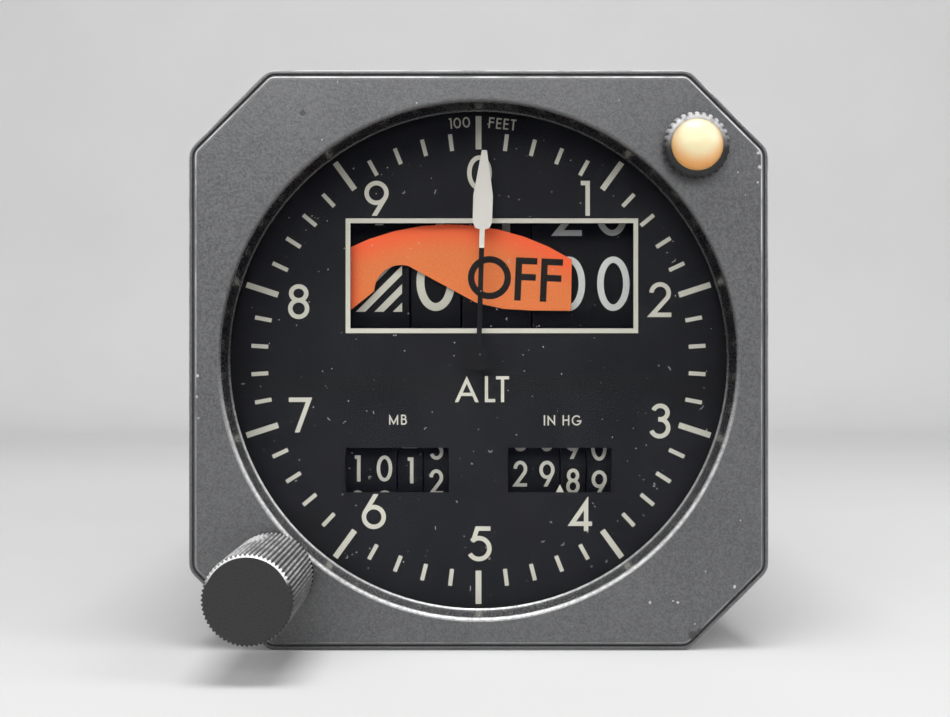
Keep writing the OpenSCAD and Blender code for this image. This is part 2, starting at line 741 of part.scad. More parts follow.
module bevel_pinion() color([0.78, 0.77, 0.72]) translate([drive_at.x, 0, drive_at.y]) difference() {
    union() {
        translate([0, bevel_y, 0]) rotate([-90, 0, 0]) linear_extrude(bevel_face, scale = bevel_taper)
            bevel_teeth_flat(180 / bevel_teeth);
        plate_y(bevel_y - bevel_boss, bevel_y) round_flat(bevel_boss_r);
    }
    plate_y(bevel_y - bevel_boss - cut, bevel_y + bevel_face + cut) shaft_hole(drive_shaft_r + fit);
}

module bevel_gear() color([0.78, 0.77, 0.72]) translate([0, counter_y, counter_z]) difference() {
    union() {
        translate([bevel_x, 0, 0]) rotate([90, 0, 90]) linear_extrude(bevel_face, scale = bevel_taper)
            bevel_teeth_flat(0);
        plate_x(tens_end, bevel_x) round_flat(bevel_boss_r);
    }
    plate_x(tens_end - cut, bevel_x + bevel_face + cut) shaft_hole(counter_axle_r + running_clearance);
}

// Altitude counter

module counter_axle() color([0.7, 0.7, 0.72])
    rod_x(counter_axle_r, left_outer, right_outer, [counter_y, counter_z]);

// A hollow drum: rim, middle web with lightening holes, and a hub on the axle
module drum(x0, width, r, wall, hub_r, bore, at) {
    x1 = x0 + width;
    middle = x0 + width / 2;
    hole_at = (hub_r + r - wall) / 2;
    difference() {
        turn_x(at) {
            ring_profile(r - wall, r, x0, x1);
            ring_profile(hub_r - wall, r - wall / 2, middle - wall / 2, middle + wall / 2);
            ring_profile(bore, hub_r, x0, x1);
        }
        for (k = [0:5])
            rod_x((r - wall - hub_r) * 0.3, middle - wall, middle + wall, at + polar(hole_at, 60 * k));
    }
}

module altitude_drum(x0, width)
    drum(x0, width, drum_r, drum_wall, drum_hub_r, counter_axle_r + running_clearance, [counter_y, counter_z]);

module ten_thousands_drum() color([0.09, 0.09, 0.09]) altitude_drum(counter_left, ten_thousands_width);
module thousands_drum() color([0.09, 0.09, 0.09]) altitude_drum(thousands_x, thousands_width);
module hundreds_drum() color([0.09, 0.09, 0.09]) altitude_drum(hundreds_x, hundreds_width);
module tens_drum() color([0.09, 0.09, 0.09]) altitude_drum(tens_x, tens_width);

// Servo motor and synchro

module motor_can(at, r, length, shaft) difference() {
    union() {
        rod_y(r, rear_plate_end, rear_plate_end + length, at);
        rod_y(r * can_neck_share, rear_plate_end + length, rear_plate_end + length + can_neck, at);
    }
    rod_y(shaft + running_clearance, rear_plate_end - cut,
        rear_plate_end + motor_shaft_depth + motor_shaft_room, at);
}

module servo_motor() color([0.55, 0.55, 0.57]) motor_can(motor_at, servo_r, servo_length, shaft_r);
module altitude_synchro() color([0.5, 0.5, 0.52]) motor_can(synchro_at, synchro_r, synchro_length, shaft_r);

module servo_pinion() color([0.75, 0.74, 0.7]) translate([motor_at.x, 0, motor_at.y]) {
    rod_y(shaft_r, first_plane, rear_plate_end + motor_shaft_depth);
    plate_y(first_plane, first_plane + gear_face) polygon(gear_points(motor_teeth, gear_module,
        mesh_phase(motor_bearing, idler_large_teeth, idler_large_phase, motor_teeth)));
}

module altitude_synchro_gear() color("goldenrod") translate([synchro_at.x, 0, synchro_at.y]) {
    rod_y(shaft_r, second_plane, rear_plate_end + motor_shaft_depth);
    plate_y(second_plane, second_plane + gear_face) difference() {
        polygon(gear_points(synchro_teeth, gear_module,
            mesh_phase(synchro_bearing, altitude_teeth, 0, synchro_teeth)));
        gear_holes(synchro_teeth, gear_module);
    }
}

// Pressure counters

module baro_axle() color([0.7, 0.7, 0.72]) rod_x(baro_axle_r, left_outer, right_outer, [baro_y, baro_z]);

module baro_drum(x0, width)
    drum(x0, width, baro_drum_r, baro_drum_wall, baro_hub_r, baro_axle_r + running_clearance, [baro_y, baro_z]);

millibar_x = -baro_inner - baro_length;
module millibar_thousands_drum() color([0.09, 0.09, 0.09]) baro_drum(millibar_x, baro_wide);
module millibar_tens_drum() color([0.09, 0.09, 0.09]) baro_drum(millibar_x + baro_middle, baro_narrow);
module millibar_units_drum() color([0.09, 0.09, 0.09]) baro_drum(millibar_x + baro_last, baro_narrow);
module inch_units_drum() color([0.09, 0.09, 0.09]) baro_drum(baro_inner, baro_wide);
module inch_tenths_drum() color([0.09, 0.09, 0.09]) baro_drum(baro_inner + baro_middle, baro_narrow);
module inch_hundredths_drum() color([0.09, 0.09, 0.09]) baro_drum(baro_inner + baro_last, baro_narrow);

// A gear beside the last drum of a pressure counter, with a boss that joins it to the drum
module drum_gear(x, n, module_mm) translate([0, baro_y, baro_z]) {
    bore = baro_axle_r + running_clearance;
    plate_x(x - baro_boss, x) hub_flat(baro_hub_r, bore);
    plate_x(x, x + baro_face) gear_flat(n, module_mm, 0, bore);
}
module millibar_drive_gear() color("goldenrod") drum_gear(millibar_gear_x, millibar_teeth, millibar_module);
module inch_drive_gear() color("goldenrod") drum_gear(inch_gear_x, inch_teeth, inch_module);

module cross_shaft() color([0.75, 0.74, 0.7])
    rod_x(baro_axle_r, crown_pinion_x - cross_shaft_over, right_outer, [baro_y, cross_z]);

module cross_gear(x, n, module_mm, phase, face) translate([0, baro_y, cross_z])
    plate_x(x, x + face) gear_flat(n, module_mm, phase, baro_axle_r + fit);

module cross_gears() color("goldenrod") {
    cross_gear(millibar_gear_x, millibar_cross_teeth, millibar_module,
        mesh_phase(-90, millibar_teeth, 0, millibar_cross_teeth), baro_face);
    cross_gear(inch_gear_x, inch_cross_teeth, inch_module,
        mesh_phase(-90, inch_teeth, 0, inch_cross_teeth), baro_face);
    cross_gear(crown_pinion_x, crown_pinion_teeth, crown_module, 180 / crown_pinion_teeth, crown_face);
}

// Knob, its shaft and the crown gear

// One ring of the knurl, cut off at a limiting radius
function knurl_ring(r, depth, count, limit, y) =
    [for (k = [0:2 * count - 1])
        let(p = polar(min(k % 2 == 0 ? r : r - depth, limit), 180 * k / count)) [p.x, y, p.y]];

module baro_knob() color([0.06, 0.06, 0.065]) translate([knob_at.x, 0, knob_at.y]) difference() {
    chamfer = [for (t = [0, 0.5, 1]) knurl_ring(knob_r, knurl_depth, knob_knurls,
        knob_r - knob_chamfer * (1 - t), knob_front + knob_chamfer * t)];
    skin(concat(chamfer, [knurl_ring(knob_r, knurl_depth, knob_knurls, knob_r, knob_rear)]));
    rod_y(knob_shaft_r + fit, knob_rear - knob_socket, knob_rear + cut);
}

module knob_shaft() color([0.7, 0.7, 0.72])
    rod_y(knob_shaft_r, knob_rear - knob_socket, bay_y + potentiometer_socket - air, knob_at);

module knob_bushing() color([0.2, 0.2, 0.21])
    tube_y(knob_shaft_r + running_clearance, knob_bushing_r, bezel_front - knob_bushing_over, spigot_length,
        knob_at);

// Crown teeth stand on the front of a disc and point at the cross shaft's pinion
module crown_tooth() {
    root = crown_root_half * crown_module;
    tip = crown_tip_half * crown_module;
    root_y = crown_tooth_root + crown_tooth_sink;
    tip_y = crown_pitch_y - crown_addendum * crown_module;
    plate_x(crown_r - crown_face / 2, crown_r + crown_face / 2)
        polygon([[root_y, -root], [root_y, root], [tip_y, tip], [tip_y, -tip]]);
}

module knob_crown_gear() color("goldenrod") translate([knob_at.x, 0, knob_at.y]) {
    rim = crown_r + crown_face / 2 + crown_rim;
    plate_y(crown_tooth_root, crown_tooth_root + crown_disc) difference() {
        round_flat(rim, 60);
        shaft_hole(knob_shaft_r + fit);
    }
    for (k = [0:crown_teeth - 1]) rotate([0, 360 * k / crown_teeth, 0]) crown_tooth();
}

module baro_potentiometer() color([0.2, 0.3, 0.5]) difference() {
    rod_y(potentiometer_r, bay_y, bay_y + potentiometer_length, knob_at);
    rod_y(knob_shaft_r + running_clearance, bay_y - cut, bay_y + potentiometer_socket, knob_at);
}

// Warning flag

function arc(centre, r, from, to, steps) =
    [for (k = [0:steps]) centre + polar(r, from + (to - from) * k / steps)];

module flag_outline() {
    top = arc(flag_arc_at, flag_arc_r, flag_arc_ends[0], flag_arc_ends[1], 10);
    notch = arc(flag_notch_at, flag_notch_r, flag_notch_ends[0], flag_notch_ends[1], 8);
    neck = [flag_pivot + [-flag_neck / 2, flag_neck], flag_pivot + [flag_neck / 2, -flag_neck]];
    polygon(concat(top, neck, [flag_lower_left], notch, flag_lower_edge));
}

module off_flag() color([0.9, 0.42, 0.2]) {
    plate_y(flag_y, flag_end) {
        flag_outline();
        translate(flag_pivot) circle(flag_hub_r);
    }
    rod_y(flag_hub_r, flag_y, flag_end + flag_boss, flag_pivot);
    rod_y(flag_pin_r, flag_y, flag_motor_y + flag_pin_depth, flag_pivot);
}

module flag_motor() color([0.5, 0.5, 0.52]) difference() {
    rod_y(flag_motor_r, flag_motor_y, flag_motor_end, flag_pivot);
    rod_y(flag_pin_r + running_clearance, flag_motor_y - cut, flag_motor_y + flag_pin_depth + air, flag_pivot);
}

// Lamp

module lamp_lens() color([0.95, 0.75, 0.4]) turn_y(lamp_at) {
    dome_r = (lens_r ^ 2 + lens_rise ^ 2) / (2 * lens_rise);
    half = asin(lens_r / dome_r);
    dome = [for (k = [0:8]) let(a = half * k / 8)
        [dome_r * sin(a), lamp_ring_front - lens_rise + dome_r * (1 - cos(a))]];
    lens_rear = lamp_ring_rear - lens_seat;
    polygon(concat(dome, [[lens_r, lens_rear], [bulb_r + air + lens_lip, lens_rear],
        [bulb_r + air, lamp_ring_front + lens_hollow], [0, lamp_ring_front - lens_crown]]));
}

// The rounding leaves a thin wall round the lens
lamp_round = min(lamp_ring_round, lamp_ring_r - lens_r - lamp_ring_wall);
function lamp_knurl_ring(inset, y) =
    knurl_ring(lamp_ring_r, lamp_knurl_depth, lamp_knurls, lamp_ring_r - inset, y);

module lamp_ring() color([0.05, 0.05, 0.05]) translate([lamp_at.x, 0, lamp_at.y]) {
    difference() {
        skin(concat([for (a = [0:30:90]) lamp_knurl_ring(lamp_round * (1 - sin(a)),
            lamp_ring_front + lamp_round * (1 - cos(a)))], [lamp_knurl_ring(0, lamp_ring_rear)]));
        rod_y(lens_r + fit, lamp_ring_front - cut, lamp_ring_rear - lens_seat);
        rod_y(bulb_r + air, lamp_ring_front, lamp_ring_rear + cut);
    }
    tube_y(bulb_r + air, lamp_stem_r, lamp_ring_rear - lamp_margin, lamp_stem_end);
}

module lamp_bushing() color([0.15, 0.15, 0.15]) turn_y(lamp_at) {
    ring_profile(lamp_stem_r + running_clearance, lamp_bushing_r, bezel_front, spigot_length);
    ring_profile(0, lamp_bushing_r, lamp_stem_end + lamp_travel + air, spigot_length);
}

module lamp_bulb() color([0.9, 0.88, 0.8]) turn_y(lamp_at) {
    bulb_front = lamp_ring_front + bulb_set_back;
    polygon(concat(arc([0, bulb_front + bulb_r], bulb_r, -90, 0, 6),
        [[bulb_r, lamp_stem_end + lamp_travel + air], [0, lamp_stem_end + lamp_travel + air]]));
}

// Frame

module side_outline(tab_low, tab_high) difference() {
    union() {
        translate([bridge_end, side_bottom]) square([front_plate_y - bridge_end, side_top - side_bottom]);
        translate([spigot_length, tab_low]) square([bridge_end + side_tab - spigot_length, tab_high - tab_low]);
    }
    translate([counter_y, counter_z]) circle(counter_axle_r + fit);
    translate([baro_y, baro_z]) circle(baro_axle_r + fit);
    translate([baro_y, cross_z]) circle(baro_axle_r + running_clearance);
}

module left_side_plate() color([0.62, 0.63, 0.64]) {
    plate_x(left_outer, left_inner) {
        side_outline(side_bottom, side_bottom + side_tab);
        translate([spigot_length, side_top - side_tab])
            square([bridge_end + side_tab - spigot_length, side_tab - side_bottom - side_top]);
    }
    plate_y(flag_motor_end, flag_motor_end + side_plate) translate(flag_pivot - [flag_motor_r, flag_motor_r])
        square([left_inner - flag_pivot.x + flag_motor_r, 2 * flag_motor_r]);
}

module right_side_plate() color([0.62, 0.63, 0.64]) difference() {
    union() {
        plate_x(right_inner, right_outer) difference() {
            side_outline(side_bottom + right_tab_rise, side_bottom + right_tab_rise + right_tab_height);
            translate([bevel_y - bevel_boss - bevel_window_gap, counter_z - bevel_r - bevel_window_gap])
                square([bevel_boss + bevel_face + 2 * bevel_window_gap, 2 * (bevel_r + bevel_window_gap)]);
        }
        plate_y(bracket_y, bracket_y + side_plate) translate([right_inner, counter_z - bracket_height / 2])
            square([drive_x - right_inner + bracket_over, bracket_height]);
    }
    rod_y(drive_shaft_r + running_clearance, counter_y, front_plate_y, drive_at);
}

module pointer_bridge() color([0.62, 0.63, 0.64]) difference() {
    plate_y(bridge_y, bridge_end) {
        translate([left_outer, bridge_low]) square([right_outer - left_outer, bridge_height]);
        translate([-bridge_leg / 2, altitude_at.y - bridge_leg_over]) square([bridge_leg, -altitude_at.y]);
    }
    rod_y(shaft_r + running_clearance, bridge_y - cut, bridge_end + cut);
    rod_y(shaft_r + running_clearance, bridge_y - cut, bridge_end + cut, altitude_at);
}

module frame_outline() polygon(cut_square(frame_half, reach_at(frame_half)));

// Posts between the gear plates, placed from the edges of the plates and clear of the gears
post_r = 2.2;
post_inset_near = 7.4;
post_inset_far = 9.4;
post_inset_bottom = 5.4;
post_bottom_x = 4;
post_near = frame_half - post_inset_near;
post_far = frame_half - post_inset_far;
post_bottom = [post_bottom_x, post_inset_bottom - frame_half];
post_places = [[-post_near, post_far], [post_far, post_near], [post_near, -post_far], post_bottom];

module front_gear_plate() color([0.66, 0.66, 0.67]) difference() {
    plate_y(front_plate_y, bay_y) frame_outline();
    for (at = [altitude_at, idler_at])
        rod_y(shaft_r + running_clearance, front_plate_y - cut, bay_y + cut, at);
    rod_y(drive_shaft_r + running_clearance, front_plate_y - cut, bay_y + cut, drive_at);
    rod_y(knob_shaft_r + running_clearance, front_plate_y - cut, bay_y + cut, knob_at);
}

module rear_gear_plate() color([0.66, 0.66, 0.67]) difference() {
    plate_y(rear_plate_y, rear_plate_end) frame_outline();
    for (at = [altitude_at, idler_at, motor_at, synchro_at])
        rod_y(shaft_r + running_clearance, rear_plate_y - cut, rear_plate_end + cut, at);
    rod_y(drive_shaft_r + running_clearance, rear_plate_y - cut, rear_plate_end + cut, drive_at);
}

module frame_posts() color([0.75, 0.75, 0.76])
    for (at = post_places) rod_y(post_r, bay_y, rear_plate_y, at);

module rod_places() for (x = [-rod_x, rod_x], z = [-rod_z, rod_z]) translate([x, 0, z]) children();

module tie_rods() color([0.75, 0.75, 0.76]) rod_places() rod_y(rod_r, rear_plate_end, case_length);

module circuit_cards() color([0.15, 0.35, 0.2]) for (x = [card_x, card_x + card_pitch]) {
    translate([x, rear_plate_end, -card_half]) cube([card_thickness, card_length, 2 * card_half]);
    for (y = [chip_start:chip_pitch:card_length - chip.y], row = chip_rows)
        translate([x + card_thickness, rear_plate_end + y, row]) cube(chip);
}

// Case and connector

module case_outline(half) polygon(rounded(cut_square(half, reach_at(half)), bezel_corner_round));

module case_shell() color([0.16, 0.16, 0.165]) plate_y(case_seat, case_length) difference() {
    case_outline(case_half);
    case_outline(case_inner);
}

module rear_cover() color([0.16, 0.16, 0.165]) difference() {
    plate_y(case_length, cover_end) case_outline(case_half);
    rod_y(connector_r + fit, case_length - cut, cover_end + cut);
    rod_places() rod_y(screw_r + fit, case_length - cut, cover_end + cut);
}

module rear_screws() color([0.6, 0.6, 0.6]) rod_places() difference() {
    union() {
        rod_y(screw_head_r, cover_end, cover_end + screw_head);
        rod_y(screw_r, case_length, cover_end + cut);
    }
    translate([-screw_head_r - cut, cover_end + screw_head * screw_slot_share, -screw_slot / 2])
        cube([2 * (screw_head_r + cut), screw_head, screw_slot]);
}

flange_end = cover_end + connector_flange_thickness;

module connector_shell() color([0.35, 0.35, 0.33]) difference() {
    union() {
        plate_y(cover_end, flange_end) square(connector_flange, center = true);
        rod_y(connector_r, insert_front - connector_floor, connector_end);
    }
    rod_y(insert_r + insert_clearance, insert_front, connector_end + cut);
    for (x = [-1, 1], z = [-1, 1])
        rod_y(flange_hole_r, cover_end - cut, flange_end + cut,
            (connector_flange / 2 - flange_hole_inset) * [x, z]);
}

module connector_insert() color([0.1, 0.1, 0.1]) {
    rod_y(insert_r, insert_front, insert_end);
    for (ring = pin_rings, k = [0:ring[0] - 1])
        rod_y(pin_r, insert_end - pin_sink, connector_end - pin_recess,
            polar(insert_r * ring[1], 360 * k / ring[0]));
}

bezel();
cover_glass();
glass_seal();
dial_spacer();
dial_plate();
dial_retaining_ring();
pointer();
pointer_arbor();
pointer_bridge();
altitude_shaft();
altitude_gear();
idler_gear();
counter_drive_shaft();
counter_drive_gear();
bevel_pinion();
bevel_gear();
counter_axle();
ten_thousands_drum();
thousands_drum();
hundreds_drum();
tens_drum();
servo_motor();
servo_pinion();
altitude_synchro();
altitude_synchro_gear();
baro_axle();
millibar_thousands_drum();
millibar_tens_drum();
millibar_units_drum();
millibar_drive_gear();
inch_units_drum();
inch_tenths_drum();
inch_hundredths_drum();
inch_drive_gear();
cross_shaft();
cross_gears();
baro_knob();
knob_shaft();
knob_bushing();
knob_crown_gear();
baro_potentiometer();
off_flag();
flag_motor();
lamp_lens();
lamp_ring();
lamp_bushing();
lamp_bulb();
left_side_plate();
right_side_plate();
front_gear_plate();
rear_gear_plate();
frame_posts();
tie_rods();
circuit_cards();
case_shell();
rear_cover();
rear_screws();
connector_shell();
connector_insert();
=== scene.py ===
"""Looks of an aircraft altimeter: finishes, printed figures and signs, dust, studio light and camera."""
import json
import math
import random
from collections import namedtuple

import bmesh
import bpy
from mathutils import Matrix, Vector
from mathutils.geometry import delaunay_2d_cdt

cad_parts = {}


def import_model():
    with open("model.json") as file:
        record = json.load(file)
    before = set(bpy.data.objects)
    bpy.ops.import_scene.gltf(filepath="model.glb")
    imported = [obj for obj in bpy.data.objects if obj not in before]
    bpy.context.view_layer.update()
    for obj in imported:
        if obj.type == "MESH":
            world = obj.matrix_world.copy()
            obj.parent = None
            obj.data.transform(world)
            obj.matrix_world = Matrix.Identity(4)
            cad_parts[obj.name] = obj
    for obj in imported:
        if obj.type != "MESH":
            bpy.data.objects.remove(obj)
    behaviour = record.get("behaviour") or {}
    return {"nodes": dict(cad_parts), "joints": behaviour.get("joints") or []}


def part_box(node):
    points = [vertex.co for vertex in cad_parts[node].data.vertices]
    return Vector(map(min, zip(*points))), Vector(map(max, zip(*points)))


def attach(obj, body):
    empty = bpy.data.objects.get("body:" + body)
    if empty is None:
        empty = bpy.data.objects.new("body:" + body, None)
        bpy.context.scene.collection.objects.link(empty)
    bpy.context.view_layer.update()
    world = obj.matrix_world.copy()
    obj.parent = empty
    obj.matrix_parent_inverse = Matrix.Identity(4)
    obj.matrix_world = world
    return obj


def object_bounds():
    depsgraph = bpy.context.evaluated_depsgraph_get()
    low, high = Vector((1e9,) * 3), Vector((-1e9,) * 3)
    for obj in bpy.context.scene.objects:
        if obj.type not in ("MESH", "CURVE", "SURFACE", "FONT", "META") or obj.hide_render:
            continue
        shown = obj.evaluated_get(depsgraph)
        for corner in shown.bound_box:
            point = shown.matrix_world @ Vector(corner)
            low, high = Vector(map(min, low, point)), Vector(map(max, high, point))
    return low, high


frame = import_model()
cad_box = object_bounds()
nodes = frame["nodes"]
joints = {joint["child"]: joint for joint in frame["joints"]}

# Lengths below are in millimetres, and this turns them into the frame's metres
MM = 0.001

# Camera: straight on, at the distance and lens that the photograph's perspective gives
CAMERA_PLACE = (-0.52, -199.5, 0.22)
CAMERA_LENS = 50.76
SENSOR_WIDTH = 36.0
CAMERA_CLIP = 10

# Printed marks: their depth, the least height of a triangle that is kept, and the degrees between the points
# of an arc and between the cuts round a drum
PRINT_DEPTH = 0.03
SLIVER = 0.001
ARC_STEP = 9
DRUM_STEP = 4

# Dial: ticks and numbers
TICK_COUNT = 50
TICKS_PER_NUMBER = 5
TICK_INNER = 31.4
MINOR_OUTER = 33.9
MAJOR_OUTER = 36.35
MINOR_WIDTH = 0.6
MAJOR_WIDTH = 0.86
NUMBER_HEIGHT = 5.2
NUMBER_STROKE = 0.66
NUMBER_PLACES = [(0.15, 27.9), (15.9, 24.1), (27.1, 9.0), (27.0, -9.1), (15.1, -22.9),
                 (0.2, -27.4), (-15.6, -22.6), (-26.5, -8.2), (-26.8, 8.7), (-15.2, 24.1)]

# Drum lettering: height, stroke, width compared with the dial's numbers, distance between the figures of a
# label, and how far a label lies aside of the drum's middle
Lettering = namedtuple("Lettering", "height stroke narrow pitch aside")
TEN_THOUSANDS = Lettering(7.0, 1.2, 0.92, 0, 0)
THOUSANDS = Lettering(8.8, 1.2, 0.92, 0, 0)
HUNDREDS = Lettering(8.4, 1.2, 0.92, 0, 1.0)
TENS = Lettering(8.3, 0.98, 0.8, 6.72, 0.7)
MILLIBAR = Lettering(3.95, 0.52, 0.8, 4.1, 0)
INCH = Lettering(3.95, 0.52, 0.8, 4.0, 0)
FIGURES_ON_DRUM = 10
FIGURE_ANGLE = 360 / FIGURES_ON_DRUM

# Legends of the dial: sign height, stroke, gap between the signs, place and clockwise turn in degrees
Legend = namedtuple("Legend", "text height stroke gap x z turn")
LEGENDS = (
    Legend("A", 3.88, 0.48, 0, -1.75, -4.35, 0),
    Legend("LT", 3.88, 0.48, 0.12, 2.75, -4.35, 0),
    Legend("MB", 1.5, 0.2, 0.42, -12.0, -8.9, 0),
    Legend("IN HG", 1.52, 0.2, 0.36, 12.5, -9.0, 0),
    Legend("100", 1.58, 0.22, 0.24, -2.83, 35.35, -4.6),
    Legend("FEET", 1.62, 0.22, 0.3, 3.57, 35.2, 5.6),
)

# Middle and size of the altitude window inside its line, and the line's width
WINDOW_MIDDLE = (2.0, 12.55)
WINDOW_WIDTH = 42.2
WINDOW_HEIGHT = 15.7
WINDOW_LINE = 0.7

# Decimal marker of the inch counter, a small plate behind the dial that stands up into the window
MARKER_PLACE = (12.2, -20.1)
MARKER_HALF = 0.73
MARKER_RISE = 1.45
MARKER_FOOT = 0.9
MARKER_THICKNESS = 0.3

# Word on the warning flag, and the middle of the flag's upper arc
FLAG_WORD = Legend("OFF", 6.5, 0.98, 0.6, 5.5, 12.2, 2.5)
FLAG_ARC_X = -4.3
FLAG_ARC_Z = -13.9

# Degrees by which the figure that each drum shows stands above the drum's front
RESTS = {
    "ten_thousands_drum": 3.4, "thousands_drum": 0.35, "hundreds_drum": 1.4, "tens_drum": -0.4,
    "millibar_thousands": 2.0, "millibar_tens": 0.0, "millibar_units": -12.0,
    "inch_units": -3.4, "inch_tenths": -11.2, "inch_hundredths": -13.0,
}

# Hatched field that stands for nought on the ten-thousands drum
HATCH_REST = 0.3
HATCH_WIDTH = 7.8
HATCH_HEIGHT = 9.0
HATCH_PITCH = 2.8

# Radius inside which the wall of the bezel's opening is painted, and the two between which its lip fades out
OPENING_R = 36.7
LIP_R = 38.0
LIP_END_R = 38.5

# Places of nicks down to the metal and of dark spots sunk into the bezel's face, each x, z and radius
BEZEL_NICKS = [(24.3, -34.4, 0.22), (28.3, -34.4, 0.18), (36.3, -32.2, 0.3), (26.6, -33.1, 0.15),
               (27.6, -34.2, 0.15), (33.4, -37.2, 0.25), (39.7, 29.4, 0.3), (39.9, 27.4, 0.35),
               (39.6, 25.2, 0.22), (-39.9, -2.2, 0.2), (-40.0, -5.2, 0.25), (-39.8, -8.2, 0.18)]
BEZEL_DARK_SPOTS = [(-25.0, 35.0, 0.55), (-30.7, 39.9, 0.6), (30.4, -39.1, 0.9), (31.4, -38.6, 0.7),
               (-40.4, 26.5, 0.35)]

# Bright spots on top of the knob: distance to the left of its axis, radius, and distances from its rear
BRIGHT_SPOT_ASIDE = 1.7
BRIGHT_SPOT_R = 2.2
BRIGHT_SPOTS_FROM_REAR = (2.5, 5.5)

# Crests round the lamp ring, one of them straight up
LAMP_KNURLS = 28

# Length of the connector's pins behind the insert's face
PIN_LENGTH = 4.0

# Where the pointer changes from black to white, up from the dial axis
POINTER_WHITE_FROM = 16.6

# Dust on the glass: number of grains, of which every so many is a fibre, and how far out they lie
DUST_SEED = 11
DUST_COUNT = 260
FIBRE_EVERY = 9
DUST_REACH = 35.0
GRAIN_LIFT = 0.04
SPECK_R = (0.03, 0.11)
SPECK_CORNERS = 5
FIBRE_LENGTH = (0.3, 0.9)
FIBRE_CURL = 2.5
FIBRE_STEPS = 5

# Stage and light, in metres and watts
FLOOR_BACK = 0.56
BEND = 0.12
BEND_STEPS = 16
STAGE_HALF = 4.0
WALL_TOP = 3.0
FLOOR_TONES = (0.66, 0.7)
WALL_TONES = (0.73, 0.78)
SoftBox = namedtuple("SoftBox", "name place size watts")
SOFT_BOXES = (
    SoftBox("key", (-0.24, -1.02, 0.53), (1.12, 0.38), 5.0),
    SoftBox("top", (0.0, -0.14, 0.62), (0.4, 0.3), 2.9),
    SoftBox("fill_left", (-0.75, -0.5, 0.1), (0.4, 0.6), 0.8),
    SoftBox("side", (0.6, -0.22, 0.36), (0.3, 0.4), 1.45),
)

# Strength of the surroundings at a low and a high direction, and where the camera, metal and glass see them
SKY_LOW = -0.1
SKY_HIGH = 0.9
SKY_STRENGTHS = (0.12, 0.5)
SEEN_STRENGTH = 0.5

# Colours of the prints
CREAM = (0.555, 0.534, 0.45)
GREY_WHITE = (0.6, 0.6, 0.575)
SIGN_BLACK = (0.016, 0.014, 0.013)

# Faces that the prints and finishes are measured from
dial_low, dial_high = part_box("dial_plate")
DIAL_FACE = dial_low.y / MM
DIAL_BACK = dial_high.y / MM
FLAG_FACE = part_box("off_flag")[0].y / MM
BEZEL_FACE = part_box("bezel")[0].y / MM
LEDGE_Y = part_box("glass_seal")[0].y / MM


# Signs as centrelines in a box of height 1, for strokes of half width t. Each gives its width and strokes

def arc(x, z, rx, rz, start, end):
    """Points of an elliptic arc, with angles in degrees from +x towards +z."""
    steps = max(3, round(abs(end - start) / ARC_STEP))
    angles = [math.radians(start + (end - start) * k / steps) for k in range(steps + 1)]
    return [(x + rx * math.cos(a), z + rz * math.sin(a)) for a in angles]


def ring(x, z, rx, rz):
    return arc(x, z, rx, rz, 0, 360)


def sign_0(t):
    return 0.71, [ring(0.355, 0.5, 0.355 - t, 0.5 - t)]


def sign_1(t):
    stem = 0.27 - t
    return 0.27, [[(stem, 0), (stem, 1)], [(0.01, 1 - t), (stem, 1 - t)]]


def sign_2(t):
    r = 0.31 - t
    bowl = arc(0.31, 1 - t - r, r, r, 178, -40)
    return 0.63, [bowl + [(1.2 * t, t), (0.63, t)]]


def sign_3(t):
    upper = 0.222 * (1 - 2 * t)
    lower = 0.5 * (1 - 2 * t) - upper
    middle = 1 - t - 2 * upper
    top = arc(0.33, 1 - t - upper, 0.27 - t, upper, 160, -90)
    bottom = arc(0.31, t + lower, 0.31 - t, lower, 90, -160)
    return 0.62, [top + [(0.27, middle)], bottom]


def sign_4(t):
    stem = 0.53
    bar = 0.21
    return 0.7, [[(stem, 0), (stem, 1 - 3.2 * t), (1.92 * t, bar), (0.7, bar)]]


def sign_5(t):
    r = 0.363 - t
    bowl = arc(0.31, 0.363, r, r, 134, -150)
    return 0.67, [[(0.64, 1 - t), (0.26, 1 - t), (0.138, 0.56)], bowl]


def sign_6(t):
    r = 0.347 - t
    lean = math.radians(31)
    touch = (0.347 - r * math.cos(lean), 0.347 + r * math.sin(lean))
    rise = 1.1 - touch[1]
    leg = [(touch[0] + rise * math.tan(lean), 1.1), touch]
    return 0.694, [ring(0.347, 0.347, r, r), leg]


def sign_7(t):
    return 0.68, [[(0, 1 - t), (0.68 - 1.6 * t, 1 - t), (0.2, -0.1)]]


def sign_8(t):
    upper = 0.228 * (1 - 2 * t)
    lower = 0.5 * (1 - 2 * t) - upper
    return 0.61, [ring(0.305, 1 - t - upper, 0.28 - t, upper), ring(0.305, t + lower, 0.305 - t, lower)]


def sign_9(t):
    width, strokes = sign_6(t)
    return width, [[(width - x, 1 - z) for x, z in points] for points in strokes]


def sign_A(t):
    half = 0.46
    peak = 1 - 2.33 * t
    bar = 0.3
    slope = (half - 1.1 * t) / peak

    def leg(z):
        return slope * (peak - z)

    legs = [(half - leg(-0.1), -0.1), (half, peak), (half + leg(-0.1), -0.1)]
    return 2 * half, [legs, [(half - leg(bar), bar), (half + leg(bar), bar)]]


def sign_B(t):
    upper = 0.225 * (1 - 2 * t)
    lower = 0.5 * (1 - 2 * t) - upper
    middle = 1 - t - 2 * upper
    top = arc(0.3, 1 - t - upper, 0.22 - t, upper, 90, -90)
    bottom = arc(0.32, t + lower, 0.26 - t, lower, 90, -90)
    stem = [(t, 0), (t, 1)]
    return 0.58, [stem, [(t, 1 - t)] + top + [(t, middle)], [(t, middle)] + bottom + [(t, t)]]


def sign_E(t):
    return 0.48, [[(0.48, 1 - t), (t, 1 - t), (t, t), (0.48, t)], [(t, 0.52), (0.45, 0.52)]]


def sign_F(t):
    return 0.5, [[(0.5, 1 - t), (t, 1 - t), (t, 0)], [(t, 0.55), (0.48, 0.55)]]


